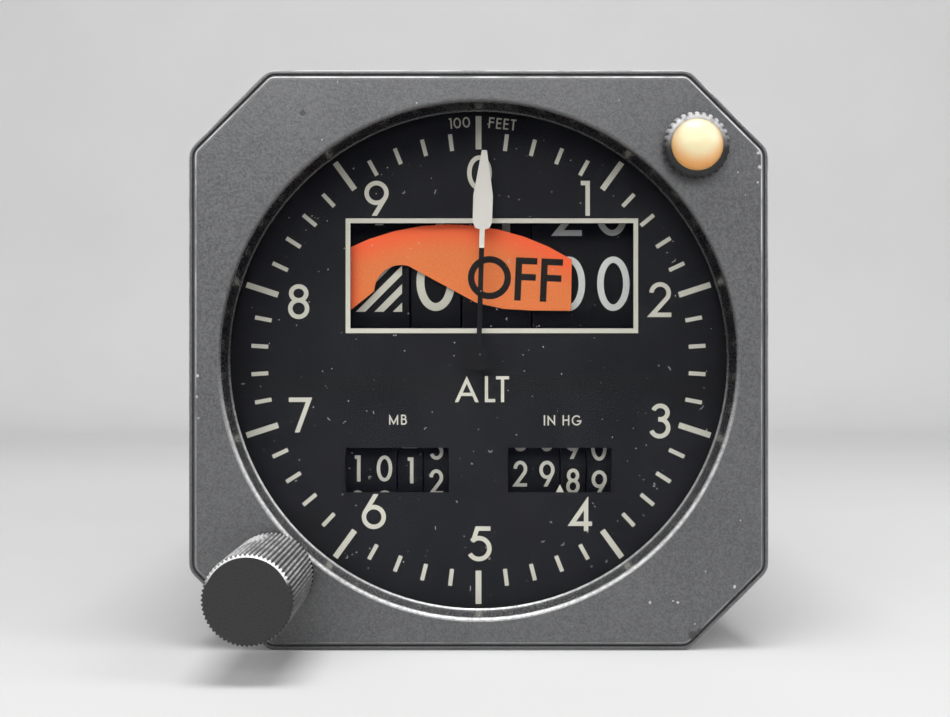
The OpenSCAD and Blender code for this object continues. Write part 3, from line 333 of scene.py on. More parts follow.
def sign_G(t):
    return 0.9, [arc(0.48, 0.5, 0.48 - t, 0.5 - t, 42, 352) + [(0.5, 0.43)]]


def sign_H(t):
    right = 0.66 - t
    return 0.66, [[(t, 0), (t, 1)], [(right, 0), (right, 1)], [(t, 0.52), (right, 0.52)]]


def sign_I(t):
    return 2 * t, [[(t, 0), (t, 1)]]


def sign_L(t):
    return 0.4, [[(t, 1), (t, t), (0.4, t)]]


def sign_M(t):
    right = 0.9 - t
    return 0.9, [[(t, 0), (t, 1 - 2.4 * t), (0.45, 0.12), (right, 1 - 2.4 * t), (right, 0)]]


def sign_N(t):
    right = 0.74 - t
    return 0.74, [[(t, 0), (t, 1 - 2.2 * t), (right, 2.2 * t), (right, 1)]]


def sign_O(t):
    return 1.0, [ring(0.5, 0.5, 0.5 - t, 0.5 - t)]


def sign_T(t):
    return 0.5, [[(0, 1 - t), (0.5, 1 - t)], [(0.25, 1 - t), (0.25, 0)]]


SIGNS = {"0": sign_0, "1": sign_1, "2": sign_2, "3": sign_3, "4": sign_4, "5": sign_5, "6": sign_6,
         "7": sign_7, "8": sign_8, "9": sign_9, "A": sign_A, "B": sign_B, "E": sign_E, "F": sign_F,
         "G": sign_G, "H": sign_H, "I": sign_I, "L": sign_L, "M": sign_M, "N": sign_N, "O": sign_O,
         "T": sign_T}
WORD_SPACE = 0.5


# Flat shapes: strokes, words and their places

def stroke_quads(path, half):
    """Four-cornered pieces of a stroke of constant width along a path, with mitred corners."""
    closed = (path[0] - path[-1]).length < 1e-6
    points = path[:-1] if closed else path
    count = len(points)
    sides = []
    for i, point in enumerate(points):
        into = point - points[i - 1] if closed or i > 0 else points[1] - point
        out = points[(i + 1) % count] - point if closed or i < count - 1 else into
        first = Vector((-into.y, into.x)).normalized()
        second = Vector((-out.y, out.x)).normalized()
        across = (first + second).normalized()
        reach = across * half / across.dot(first)
        sides.append((point + reach, point - reach))
    following = sides[1:] + sides[:1] if closed else sides[1:]
    return [[a[1], b[1], b[0], a[0]] for a, b in zip(sides, following)]


def clipped(shape, height, keep_above):
    """The part of a shape above a height, or below it."""
    side = 1 if keep_above else -1
    made = []
    for p, q in zip(shape, shape[1:] + shape[:1]):
        p_in = side * (p.y - height) >= 0
        q_in = side * (q.y - height) >= 0
        if p_in:
            made.append(p)
        if p_in != q_in:
            made.append(p.lerp(q, (height - p.y) / (q.y - p.y)))
    return made


def sign_shapes(sign, height, stroke, narrow):
    """Width and shapes of one sign that stands on the origin."""
    half = stroke / height / 2
    width, strokes = SIGNS[sign](half)
    shapes = []
    for points in strokes:
        path = [Vector((x * narrow, z)) for x, z in points]
        for quad in stroke_quads(path, half):
            shape = clipped(clipped(quad, 0, True), 1, False)
            if len(shape) > 2:
                shapes.append([p * height for p in shape])
    return width * narrow * height, shapes


def word(text, height, stroke, gap, narrow=1.0):
    """Shapes of a line of signs, centred on the origin."""
    shapes = []
    edge = 0
    for sign in text:
        if sign == " ":
            edge += WORD_SPACE * height
            continue
        width, made = sign_shapes(sign, height, stroke, narrow)
        shapes += [[p + Vector((edge, 0)) for p in shape] for shape in made]
        edge += width + gap
    middle = Vector(((edge - gap) / 2, height / 2))
    return [[p - middle for p in shape] for shape in shapes]


def placed(shapes, x, z, turn=0):
    """Shapes turned clockwise by an angle in degrees and moved to a place."""
    c = math.cos(math.radians(turn))
    s = math.sin(math.radians(turn))
    return [[Vector((x + c * p.x + s * p.y, z - s * p.x + c * p.y)) for p in shape] for shape in shapes]


def box_shape(x0, x1, z0, z1):
    return [Vector((x0, z0)), Vector((x1, z0)), Vector((x1, z1)), Vector((x0, z1))]


# Solids

def add_mesh(name, build, finish, body):
    """Turns a bmesh into a piece that rides on a body."""
    bmesh.ops.recalc_face_normals(build, faces=build.faces)
    mesh = bpy.data.meshes.new(name)
    build.to_mesh(mesh)
    build.free()
    mesh.materials.append(finish)
    piece = bpy.data.objects.new(name, mesh)
    bpy.context.scene.collection.objects.link(piece)
    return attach(piece, body)


def triangles_of(shape):
    """Counter-clockwise triangles of a convex shape, without slivers."""
    made = []
    first = shape[0]
    for p, q in zip(shape[1:], shape[2:]):
        area = (p - first).cross(q - first)
        longest = max((p - first).length, (q - first).length, (p - q).length)
        if abs(area) > SLIVER * longest:
            made.append((first, p, q) if area > 0 else (first, q, p))
    return made


def printed(name, shapes, place, finish, body, depth=PRINT_DEPTH, cuts=()):
    """One thin closed solid from flat shapes that may overlap. place(u, v, h) puts a point in the frame, in
    millimetres, and cuts are the heights at which the shapes are divided so that they can bend."""
    points = []
    faces = []
    for shape in shapes:
        for triangle in triangles_of(shape):
            faces.append(list(range(len(points), len(points) + 3)))
            points += triangle
    left = min(p.x for p in points) - 1
    right = max(p.x for p in points) + 1
    edges = []
    for height in cuts:
        edges.append((len(points), len(points) + 1))
        points += [Vector((left, height)), Vector((right, height))]
    flat, _, triangles, _, _, origins = delaunay_2d_cdt(points, edges, faces, 0, 1e-5)
    kept = [t for t, origin in zip(triangles, origins) if origin]
    build = bmesh.new()
    used = sorted({i for t in kept for i in t})
    low = {i: build.verts.new(Vector(place(flat[i].x, flat[i].y, 0)) * MM) for i in used}
    high = {i: build.verts.new(Vector(place(flat[i].x, flat[i].y, depth)) * MM) for i in used}
    rim = set()
    for t in kept:
        build.faces.new([high[i] for i in t])
        build.faces.new([low[i] for i in reversed(t)])
        for edge in zip(t, t[1:] + t[:1]):
            if edge[::-1] in rim:
                rim.remove(edge[::-1])
            else:
                rim.add(edge)
    for a, b in sorted(rim):
        build.faces.new([low[a], low[b], high[b], high[a]])
    return add_mesh(name, build, finish, body)


def on_plane(face):
    """Places printed points on a plane that faces the front."""
    return lambda u, v, h: (u, face - h, v)


def on_drum(drum, body):
    """Rim radius of a drum, and the places of points printed on it, with v along the rim from its front."""
    low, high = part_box(drum)
    _, axis_y, axis_z = (value / MM for value in joints[body]["pos_m"])
    r = (high.z - low.z) / MM / 2
    middle = (low.x + high.x) / MM / 2

    def place(u, v, h):
        angle = v / r
        return middle + u, axis_y - (r + h) * math.cos(angle), axis_z + (r + h) * math.sin(angle)

    return r, place


# Materials

class Finish:
    """A material's nodes, with short calls to add and join them. Lengths are in millimetres."""

    def __init__(self, name, roughness=0.5, metallic=0.0, gloss=0.5):
        self.material = bpy.data.materials.new(name)
        self.material.use_nodes = True
        self.tree = self.material.node_tree
        self.shader = self.tree.nodes["Principled BSDF"]
        self.place = self.add("ShaderNodeTexCoord").outputs["Object"]
        self.feed("Roughness", roughness)
        self.feed("Metallic", metallic)
        self.feed("Specular IOR Level", gloss)

    def add(self, kind, **settings):
        node = self.tree.nodes.new(kind)
        for name, value in settings.items():
            setattr(node, name, value)
        return node

    def feed(self, socket, value):
        """Links a socket to another's output, or sets it."""
        target = self.shader.inputs[socket] if isinstance(socket, str) else socket
        if isinstance(value, bpy.types.NodeSocket):
            self.tree.links.new(value, target)
        elif isinstance(value, tuple) and len(value) == 3 and target.type == "RGBA":
            target.default_value = (*value, 1)
        else:
            target.default_value = value

    def noise(self, size, detail=2.0, stretch=None):
        """Soft random pattern with features of a size."""
        node = self.add("ShaderNodeTexNoise")
        self.feed(node.inputs["Scale"], 1 / (size * MM))
        self.feed(node.inputs["Detail"], detail)
        self.feed(node.inputs["Vector"], self.scaled(stretch) if stretch else self.place)
        return node.outputs[0]

    def scaled(self, scale):
        """Place on the object, times a scale along each axis."""
        node = self.add("ShaderNodeMapping")
        self.feed(node.inputs["Vector"], self.place)
        self.feed(node.inputs["Scale"], scale)
        return node.outputs[0]

    def millimetres(self):
        return self.scaled((1 / MM, 1 / MM, 1 / MM))

    def cells(self, size):
        """Distance from scattered points about a size apart, as a share of that size."""
        node = self.add("ShaderNodeTexVoronoi")
        self.feed(node.inputs["Scale"], 1 / (size * MM))
        self.feed(node.inputs["Vector"], self.place)
        return node.outputs["Distance"]

    def span(self, value, low, high, out_low=0.0, out_high=1.0):
        """Smooth step from low to high."""
        node = self.add("ShaderNodeMapRange", interpolation_type="SMOOTHSTEP")
        for socket, number in zip(node.inputs[:5], (value, low, high, out_low, out_high)):
            self.feed(socket, number)
        return node.outputs[0]

    def math(self, operation, a, b=0.0):
        node = self.add("ShaderNodeMath", operation=operation)
        self.feed(node.inputs[0], a)
        self.feed(node.inputs[1], b)
        return node.outputs[0]

    def product(self, found, *others):
        for other in others:
            found = self.math("MULTIPLY", found, other)
        return found

    def largest(self, found, *others):
        for other in others:
            found = self.math("MAXIMUM", found, other)
        return found

    def mix(self, factor, a, b):
        """Blend of two colours, which are a mix node's inputs 6 and 7 and its output 2."""
        node = self.add("ShaderNodeMix", data_type="RGBA")
        for index, value in ((0, factor), (6, a), (7, b)):
            self.feed(node.inputs[index], value)
        return node.outputs[2]

    def coordinate(self, axis, start=0.0):
        """Place along an axis, measured from a start."""
        node = self.add("ShaderNodeSeparateXYZ")
        self.feed(node.inputs[0], self.millimetres())
        return self.math("SUBTRACT", node.outputs[axis], start)

    def distance(self, point):
        node = self.add("ShaderNodeVectorMath", operation="DISTANCE")
        self.feed(node.inputs[0], self.millimetres())
        self.feed(node.inputs[1], point)
        return node.outputs["Value"]

    def from_line(self, x=0.0, z=0.0):
        """Distance from a line along Y."""
        across = self.coordinate("X", x)
        up = self.coordinate("Z", z)
        squares = self.math("ADD", self.product(across, across), self.product(up, up))
        return self.math("POWER", squares, 0.5)

    def facing_front(self):
        """-1 on faces that look to the front, 0 on those that look sideways."""
        node = self.add("ShaderNodeSeparateXYZ")
        source = self.add("ShaderNodeTexCoord")
        self.feed(node.inputs[0], source.outputs["Normal"])
        return node.outputs["Y"]

    def spots(self, places, y):
        """1 in small ragged spots at one depth, each given by x, z and radius."""
        ragged = self.product(self.math("SUBTRACT", self.noise(0.5, 2), 0.5), 0.5)
        found = 0.0
        for x, z, r in places:
            reach = self.math("ADD", self.distance((x, y, z)), ragged)
            found = self.largest(found, self.span(reach, r, r / 2))
        return found

    def rounded_normal(self, radius):
        """Normal of edges shaded as rounded by a radius."""
        bevel = self.add("ShaderNodeBevel", samples=6)
        self.feed(bevel.inputs["Radius"], radius * MM)
        return bevel.outputs[0]

    def edge(self, radius):
        """1 on sharp edges and 0 on flat faces, over a radius."""
        geometry = self.add("ShaderNodeNewGeometry")
        dot = self.add("ShaderNodeVectorMath", operation="DOT_PRODUCT")
        self.feed(dot.inputs[0], self.rounded_normal(radius))
        self.feed(dot.inputs[1], geometry.outputs["Normal"])
        return self.span(dot.outputs["Value"], 0.99, 0.8)

    def bump(self, height, depth, rounding=0.0):
        """Relief of a depth, on edges that are shaded as rounded by a radius if given."""
        node = self.add("ShaderNodeBump")
        if rounding:
            self.feed(node.inputs["Normal"], self.rounded_normal(rounding))
        self.feed(node.inputs["Height"], height)
        self.feed(node.inputs["Distance"], depth * MM)
        self.feed(node.inputs["Strength"], 1.0)
        self.feed("Normal", node.outputs[0])


def shade(colour, factor):
    return tuple(value * factor for value in colour)


def round_piece(name):
    """X and z of the axis, and radius, of a round piece that lies along Y."""
    low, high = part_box(name)
    return (low.x + high.x) / 2 / MM, (low.z + high.z) / 2 / MM, (high.z - low.z) / 2 / MM


def grained(name, colour, grain=0.3, contrast=0.15, roughness=(0.45, 0.6), relief=0.01, metallic=0.0,
            wear=None, gloss=0.5):
    """Fine grain in colour, gloss and relief, with edges that wear has turned to a colour over a radius if
    given.
    """
    finish = Finish(name, metallic=metallic, gloss=gloss)
    fine = finish.noise(grain, 3)
    broad = finish.noise(grain * 40, 2)
    tone = finish.math("ADD", finish.product(fine, 0.7), finish.product(broad, 0.3))
    base = finish.mix(finish.span(tone, 0.3, 0.7), shade(colour, 1 - contrast), shade(colour, 1 + contrast))
    if wear:
        worn_colour, radius = wear
        rubbed_and_lit = finish.product(finish.edge(radius), finish.span(finish.noise(1.2, 4), 0.42, 0.62))
        base = finish.mix(rubbed_and_lit, base, worn_colour)
    finish.feed("Base Color", base)
    finish.feed("Roughness", finish.span(fine, 0.3, 0.7, *roughness))
    finish.bump(fine, relief)
    return finish.material


def bezel_paint():
    """Satin dark grey paint, finely grained, with outer edges painted bright as wear and as a painted
    highlight, nicks, dark sunk spots, a black opening with painted light on its lower wall and painted shade
    at the top of its lip, a painted highlight on the lower lip and ledge, and a channel floor painted
    lighter against its shade.
    """
    finish = Finish("bezel_paint", gloss=1.0)
    front = finish.facing_front()
    from_axis = finish.from_line()
    up = finish.coordinate("Z")
    depth = finish.coordinate("Y")
    fine = finish.noise(0.26, 4)
    tone = finish.math("ADD", finish.product(fine, 0.8), finish.product(finish.noise(16, 2), 0.2))
    base = finish.mix(finish.span(tone, 0.3, 0.7), (0.0425, 0.0435, 0.0465), (0.109, 0.11, 0.115))

    # Outer edges painted bright, partly as wear and partly as a painted highlight that grows towards the top
    corner = finish.product(finish.span(front, -0.98, -0.88), finish.span(front, -0.1, -0.3))
    outside = finish.span(from_axis, LIP_END_R, LIP_END_R + 1)
    uneven = finish.span(finish.noise(4, 4), 0.3, 0.6, 0.3, 1.0)
    # Painted highlight: stronger towards the top, where the light falls
    lit_higher = finish.span(up, -20, 30, 0.35, 1.0)
    base = finish.mix(finish.product(corner, outside, uneven, lit_higher), base, (0.62, 0.62, 0.63))

    # Nicks, and dark spots that are also sunk in the relief
    specks = finish.span(finish.cells(2.6), 0.045, 0.03)
    nicks = finish.largest(specks, finish.spots(BEZEL_NICKS, BEZEL_FACE))
    base = finish.mix(nicks, base, (0.5, 0.5, 0.5))
    dark_spots = finish.spots(BEZEL_DARK_SPOTS, BEZEL_FACE)
    base = finish.mix(dark_spots, base, (0.015, 0.015, 0.015))

    # Wall of the opening painted black, with painted light that turns it grey in the lower half and painted
    # shade that darkens the top of its lip
    inside = finish.span(from_axis, OPENING_R + 0.1, OPENING_R - 0.1)
    near_axis = finish.span(from_axis, LIP_END_R, LIP_R)
    upper = finish.span(up, -12, 12)
    steep = finish.span(front, -0.35, -0.15)
    # Painted shade: the lip's rounding is darkened at the top, where it faces down
    turned_in_shade = finish.product(finish.span(front, -0.99, -0.93), finish.largest(upper, steep))
    wall = finish.largest(inside, finish.product(turned_in_shade, near_axis))
    # Painted light: the wall is painted grey towards the bottom, where it faces the light
    lower = finish.span(up, 4, -22)
    wall_tone = finish.mix(lower, (0.006, 0.006, 0.0065), (0.07, 0.07, 0.072))
    base = finish.mix(wall, base, wall_tone)

    # Lip of the opening and ledge before the glass, given a metal polish and painted bright in the lower
    # half as a painted highlight
    rounding = finish.product(finish.span(front, -0.998, -0.965), finish.span(front, -0.1, -0.3))
    lip = finish.product(rounding, near_axis)
    ledge = finish.product(inside, finish.span(depth, LEDGE_Y - 0.5, LEDGE_Y - 0.4))
    grainy = finish.span(finish.noise(0.4, 3), 0.36, 0.58, 0.6, 1.0)
    polish_and_highlight = finish.product(finish.largest(lip, finish.product(ledge, 0.7)), lower, grainy)
    base = finish.mix(polish_and_highlight, base, (0.67, 0.67, 0.67))

    # Floor of the sunk channel round the face, painted lighter as painted light against the shade that falls
    # into it
    sunk = finish.span(depth, BEZEL_FACE + 0.9, BEZEL_FACE + 1.2)
    groove_painted_light = finish.product(sunk, finish.span(front, -0.9, -0.97), finish.span(from_axis, LIP_R, LIP_END_R))
    finish.feed("Base Color", finish.mix(groove_painted_light, base, (0.3, 0.3, 0.3)))

    finish.feed("Metallic", finish.product(polish_and_highlight, 0.8))
    satin = finish.math("ADD", finish.span(fine, 0.3, 0.7, 0.28, 0.4), finish.product(polish_and_highlight, 0.16))
    finish.feed("Roughness", finish.math("SUBTRACT", satin, finish.product(wall, 0.1)))
    finish.bump(finish.math("SUBTRACT", fine, finish.largest(nicks, dark_spots)), 0.02, rounding=0.3)
    return finish.material


def case_paint():
    """Satin black paint with fine pebbles, drag marks along the case and corners that wear has bared to the
    metal.
    """
    finish = Finish("case_paint", gloss=0.4)
    pebbles = finish.noise(0.5, 3)
    broad = finish.noise(22, 3)
    base = finish.mix(finish.span(broad, 0.35, 0.65), (0.013, 0.013, 0.014), (0.022, 0.022, 0.023))
    handled_and_lit = finish.span(finish.noise(14, 2), 0.48, 0.62)
    drags = finish.span(finish.noise(0.9, 3, (1, 0.05, 1)), 0.6, 0.72)
    base = finish.mix(finish.product(drags, handled_and_lit, 0.6), base, (0.07, 0.07, 0.072))
    rubbed_and_lit = finish.product(finish.edge(0.5), finish.span(finish.noise(2.0, 4), 0.44, 0.6))
    finish.feed("Base Color", finish.mix(rubbed_and_lit, base, (0.28, 0.28, 0.28)))
    finish.feed("Roughness", finish.span(pebbles, 0.3, 0.7, 0.42, 0.6))
    finish.bump(pebbles, 0.03)
    return finish.material


def cover_glass():
    """Clear glass with a faint blue coating that lets lamps light the dial."""
    finish = Finish("cover_glass", roughness=0.0)
    finish.feed("Base Color", (0.97, 0.98, 0.985))
    finish.feed("Transmission Weight", 1.0)
    finish.feed("IOR", 1.45)
    finish.feed("Specular Tint", (0.035, 0.04, 0.09))
    clear = finish.add("ShaderNodeBsdfTransparent")
    path = finish.add("ShaderNodeLightPath")
    choice = finish.add("ShaderNodeMixShader")
    finish.feed(choice.inputs[0], path.outputs["Is Shadow Ray"])
    finish.feed(choice.inputs[1], finish.shader.outputs[0])
    finish.feed(choice.inputs[2], clear.outputs[0])
    finish.feed(finish.tree.nodes["Material Output"].inputs["Surface"], choice.outputs[0])
    return finish.material


def pointer_paint():
    """Off-white blade on a black stem."""
    finish = Finish("pointer_white", roughness=0.6, gloss=0.15)
    fine = finish.noise(0.3, 3)
    white = finish.mix(fine, (0.63, 0.605, 0.55), (0.69, 0.665, 0.61))
    blade = finish.span(finish.coordinate("Z", POINTER_WHITE_FROM), -0.01, 0.01)
    finish.feed("Base Color", finish.mix(blade, (0.006, 0.006, 0.006), white))
    finish.bump(fine, 0.008)
    return finish.material


def flag_paint():
    """Bright orange, turning to deeper red towards its upper arc and left edge as painted shade from the
    window's edge.
    """
    finish = Finish("flag_orange", roughness=0.65)
    fine = finish.noise(0.25, 3)
    base = finish.mix(finish.span(fine, 0.3, 0.7), (0.68, 0.15, 0.027), (0.78, 0.195, 0.042))
    arc_edge = finish.span(finish.distance((FLAG_ARC_X, FLAG_FACE, FLAG_ARC_Z)), 29.5, 34.5)
    left_edge = finish.span(finish.coordinate("X"), -16.5, -20.5)
    # Painted shade: deeper red towards the upper arc and left edge, where the window's edge shades the flag
    redder_shade = finish.product(finish.largest(arc_edge, left_edge), 0.7)
    finish.feed("Base Color", finish.mix(redder_shade, base, (1.0, 0.08, 0.012)))
    finish.bump(fine, 0.008)
    return finish.material


def knob_black():
    """Black knob, its knurl bared to grey metal in patches on its crests, painted brighter towards the top
    as painted light, with bright spots near its rear on top and a painted highlight along the top of its
    front edge.
    """
    finish = Finish("knob_black", gloss=0.12)
    x, z, r = round_piece("baro_knob")
    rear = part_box("baro_knob")[1].y / MM
    fine = finish.noise(0.14, 3)
    base = finish.mix(finish.span(fine, 0.35, 0.65), (0.03, 0.0295, 0.03), (0.05, 0.049, 0.05))
    front = finish.facing_front()
    up = finish.coordinate("Z", z)
    # Painted highlight: the front edge is painted bright only at the top, where the light falls
    above = finish.span(up, 0.3 * r, 0.55 * r)
    chamfer = finish.product(finish.span(front, -0.95, -0.88), finish.span(front, -0.3, -0.45))
    side = finish.span(front, -0.45, -0.3)
    crest = finish.span(finish.from_line(x, z), r - 0.28, r - 0.02, 0.04, 1.0)
    patches = finish.span(finish.noise(2.4, 2), 0.4, 0.64, 0.5, 1.0)
    # Painted light: the knurl's grey grows towards the top, where the light falls
    handled_and_lit = finish.span(up, -0.4 * r, r, 0.25, 1.0)
    worn_and_highlit = finish.largest(finish.product(chamfer, above), finish.product(side, crest, patches, handled_and_lit))
    for from_rear in BRIGHT_SPOTS_FROM_REAR:
        bright_spot = finish.spots([(x - BRIGHT_SPOT_ASIDE, z + r - 0.1, BRIGHT_SPOT_R)], rear - from_rear)
        worn_and_highlit = finish.largest(worn_and_highlit, finish.product(bright_spot, side))
    finish.feed("Base Color", finish.mix(worn_and_highlit, base, (0.8, 0.8, 0.8)))
    finish.feed("Metallic", finish.product(worn_and_highlit, 0.35))
    finish.feed("Roughness", finish.span(fine, 0.3, 0.7, 0.34, 0.5))
    finish.bump(fine, 0.012)
    return finish.material


def lamp_black():
    """Black lamp ring, its crests on the upper side painted grey as wear and as painted light, with the
    hollows between them left dark as painted shade.
    """
    finish = Finish("lamp_black", gloss=0.35)
    x, z, r = round_piece("lamp_ring")
    fine = finish.noise(0.25, 3)
    base = finish.mix(fine, (0.01, 0.01, 0.011), (0.02, 0.02, 0.021))
    across = finish.coordinate("X", x)
    up = finish.coordinate("Z", z)
    # Painted light: the upper side is painted lighter, where the light falls
    above = finish.span(up, -0.2 * r, 0.75 * r)
    uneven = finish.span(finish.noise(0.8, 3), 0.3, 0.6, 0.6, 1.0)
    outer = finish.span(finish.from_line(x, z), r - 0.85, r - 0.3)
    turns = finish.product(finish.math("ARCTAN2", up, across), LAMP_KNURLS)
    # Painted shade: the hollows between the crests stay dark
    shaded_grooves = finish.span(finish.math("COSINE", turns), 0.2, -0.6)
    unshaded = finish.math("SUBTRACT", 1.0, finish.product(shaded_grooves, outer, 0.9))
    rubbed_and_lit = finish.product(above, uneven, unshaded)
    finish.feed("Base Color", finish.mix(rubbed_and_lit, base, (0.6, 0.6, 0.605)))
    finish.feed("Metallic", finish.product(rubbed_and_lit, 0.3))
    finish.feed("Roughness", finish.span(fine, 0.3, 0.7, 0.32, 0.46))
    finish.bump(fine, 0.012)
    return finish.material


def lens_amber():
    """Frosted amber plastic that light soaks into, painted lightest above its middle as painted light and
    orange towards the rim.
    """
    finish = Finish("lens_amber", roughness=0.3)
    x, z, r = round_piece("lamp_lens")
    # Painted light: the colour is lightest round a point above the middle, where the light falls
    lit_palest_point = (x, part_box("lamp_lens")[0].y / MM, z + 0.4 * r)
    fine = finish.noise(0.5, 2)
    to_rim = finish.span(finish.distance(lit_palest_point), 0.6 * r, 1.35 * r)
    base = finish.mix(to_rim, (1.0, 0.79, 0.52), (1.0, 0.35, 0.075))
    finish.feed("Base Color", finish.mix(finish.product(fine, 0.2), base, (1.0, 0.7, 0.36)))
    finish.feed("Subsurface Weight", 0.9)
    finish.feed("Subsurface Radius", (0.5, 0.5, 0.5))
    finish.feed("Subsurface Scale", 5.0 * MM)
    finish.feed("Coat Weight", 0.15)
    finish.feed("Coat Roughness", 0.3)
    finish.bump(fine, 0.02)
    return finish.material


def metal(name, colour, roughness, stretch=None):
    """Bare metal with fine tool marks."""
    finish = Finish(name, metallic=1.0)
    marks = finish.noise(0.15, 2, stretch)
    broad = finish.noise(6, 2)
    finish.feed("Base Color", finish.mix(broad, shade(colour, 0.86), colour))
    finish.feed("Roughness", finish.span(marks, 0.3, 0.7, roughness - 0.07, roughness + 0.1))
    finish.bump(marks, 0.006)
    return finish.material


def connector_insert():
    """Black insert with gold-plated pins that stand out of its rear face."""
    finish = Finish("insert_black")
    fine = finish.noise(0.3, 3)
    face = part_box("connector_insert")[1].y / MM - PIN_LENGTH
    pin = finish.span(finish.coordinate("Y", face), 0, 0.05)
    base = finish.mix(fine, (0.009, 0.009, 0.009), (0.016, 0.016, 0.016))
    finish.feed("Base Color", finish.mix(pin, base, (0.8, 0.56, 0.2)))
    finish.feed("Metallic", pin)
    finish.feed("Roughness", finish.span(fine, 0.3, 0.7, 0.3, 0.45))
    finish.bump(fine, 0.01)
    return finish.material


FINISHES = {
    "bezel_paint": bezel_paint(),
    "case_paint": case_paint(),
    "glass": cover_glass(),
    "seal": grained("seal", (0.008, 0.008, 0.008), 0.4, 0.2, (0.7, 0.85)),
    "dial_black": grained("dial_black", (0.0145, 0.0145, 0.0155), 0.2, 0.35, (0.6, 0.8), 0.004, gloss=0.08),
    "pointer_white": pointer_paint(),
    "drum_black": grained("drum_black", (0.008, 0.008, 0.0085), 0.25, 0.25, (0.6, 0.8), gloss=0.1),
    "flag_orange": flag_paint(),
    "brass": metal("brass", (0.72, 0.5, 0.2), 0.28),
    "steel": metal("steel", (0.56, 0.56, 0.57), 0.25),
    "frame_aluminium": metal("frame_aluminium", (0.62, 0.62, 0.63), 0.35, (1, 1, 12)),
    "motor_can": metal("motor_can", (0.42, 0.42, 0.44), 0.3, (1, 12, 1)),
    "potentiometer_blue": grained("potentiometer_blue", (0.018, 0.05, 0.17), 0.5, 0.15, (0.3, 0.4)),
    "knob_black": knob_black(),
    "lens_amber": lens_amber(),
    "lamp_black": lamp_black(),
    "bulb": cover_glass(),
    "card_green": grained("card_green", (0.01, 0.07, 0.022), 0.6, 0.2, (0.35, 0.5)),
    "connector_olive": grained("connector_olive", (0.1, 0.1, 0.062), 0.4, 0.15, (0.35, 0.5), metallic=0.6,
                               wear=((0.3, 0.3, 0.28), 0.25)),
    "insert_black": connector_insert(),
}
cream_print = grained("marking_cream", CREAM, 0.2, 0.06, (0.6, 0.75), 0.006)
grey_print = grained("marking_grey", GREY_WHITE, 0.2, 0.06, (0.55, 0.7), 0.006)
black_print = grained("marking_black", SIGN_BLACK, 0.2, 0.1, (0.6, 0.75), 0.006, gloss=0.1)

for node in nodes.values():
    slot = node.data.materials[0].name
    node.data.materials[0] = FINISHES[slot.split(".")[0]]


# Dial print

def tick(k):
    """A tick of the scale, k steps clockwise from the top."""
    major = k % TICKS_PER_NUMBER == 0
    half = (MAJOR_WIDTH if major else MINOR_WIDTH) / 2
    outer = MAJOR_OUTER if major else MINOR_OUTER
    return placed([box_shape(-half, half, TICK_INNER, outer)], 0, 0, 360 * k / TICK_COUNT)


def dial_numbers():
    shapes = []
    for number, (x, z) in enumerate(NUMBER_PLACES):
        shapes += placed(word(str(number), NUMBER_HEIGHT, NUMBER_STROKE, 0), x, z)
    return shapes


def legend_shapes(legend):
    made = word(legend.text, legend.height, legend.stroke, legend.gap)
    return placed(made, legend.x, legend.z, legend.turn)


def window_line():
    """Four bars of the cream line round the altitude window."""
    inner_x = WINDOW_WIDTH / 2
    inner_z = WINDOW_HEIGHT / 2
    outer_x = inner_x + WINDOW_LINE
    outer_z = inner_z + WINDOW_LINE
    bars = [box_shape(-outer_x, outer_x, inner_z, outer_z), box_shape(-outer_x, outer_x, -outer_z, -inner_z),
            box_shape(-outer_x, -inner_x, -outer_z, outer_z), box_shape(inner_x, outer_x, -outer_z, outer_z)]
    return placed(bars, *WINDOW_MIDDLE)


def decimal_marker():
    """A plate with a pointed top."""
    outline = [(-MARKER_HALF, -MARKER_FOOT), (MARKER_HALF, -MARKER_FOOT), (MARKER_HALF, 0), (0, MARKER_RISE),
               (-MARKER_HALF, 0)]
    return placed([[Vector(point) for point in outline]], *MARKER_PLACE)


dial = on_plane(DIAL_FACE)
behind_dial = on_plane(DIAL_BACK + MARKER_THICKNESS)
ticks = [shape for k in range(TICK_COUNT) for shape in tick(k)]
legends = [shape for legend in LEGENDS for shape in legend_shapes(legend)]
printed("dial_ticks", ticks, dial, cream_print, "housing")
printed("dial_numbers", dial_numbers(), dial, cream_print, "housing")
printed("dial_legends", legends, dial, cream_print, "housing")
printed("window_line", window_line(), dial, cream_print, "housing")
printed("decimal_marker", decimal_marker(), behind_dial, cream_print, "housing", depth=MARKER_THICKNESS)
printed("flag_letters", legend_shapes(FLAG_WORD), on_plane(FLAG_FACE), black_print, "flag")


# Drum figures

def drum_cuts(r):
    """Heights along a drum's rim at which its print is divided."""
    step = math.radians(DRUM_STEP) * r
    return [step * k for k in range(-180 // DRUM_STEP, 180 // DRUM_STEP + 1)]


def rim_figures(r, labels, rest, letters):
    """Labels round a drum: the first is shown, raised by a rest angle, and each next one is above it."""
    shapes = []
    for k, label in enumerate(labels):
        angle = (rest + k * FIGURE_ANGLE + 180) % 360 - 180
        for place, figure in enumerate(label):
            x = letters.aside + letters.pitch * (place - (len(label) - 1) / 2)
            made = word(figure, letters.height, letters.stroke, 0, letters.narrow)
            shapes += placed(made, x, math.radians(angle) * r)
    return shapes


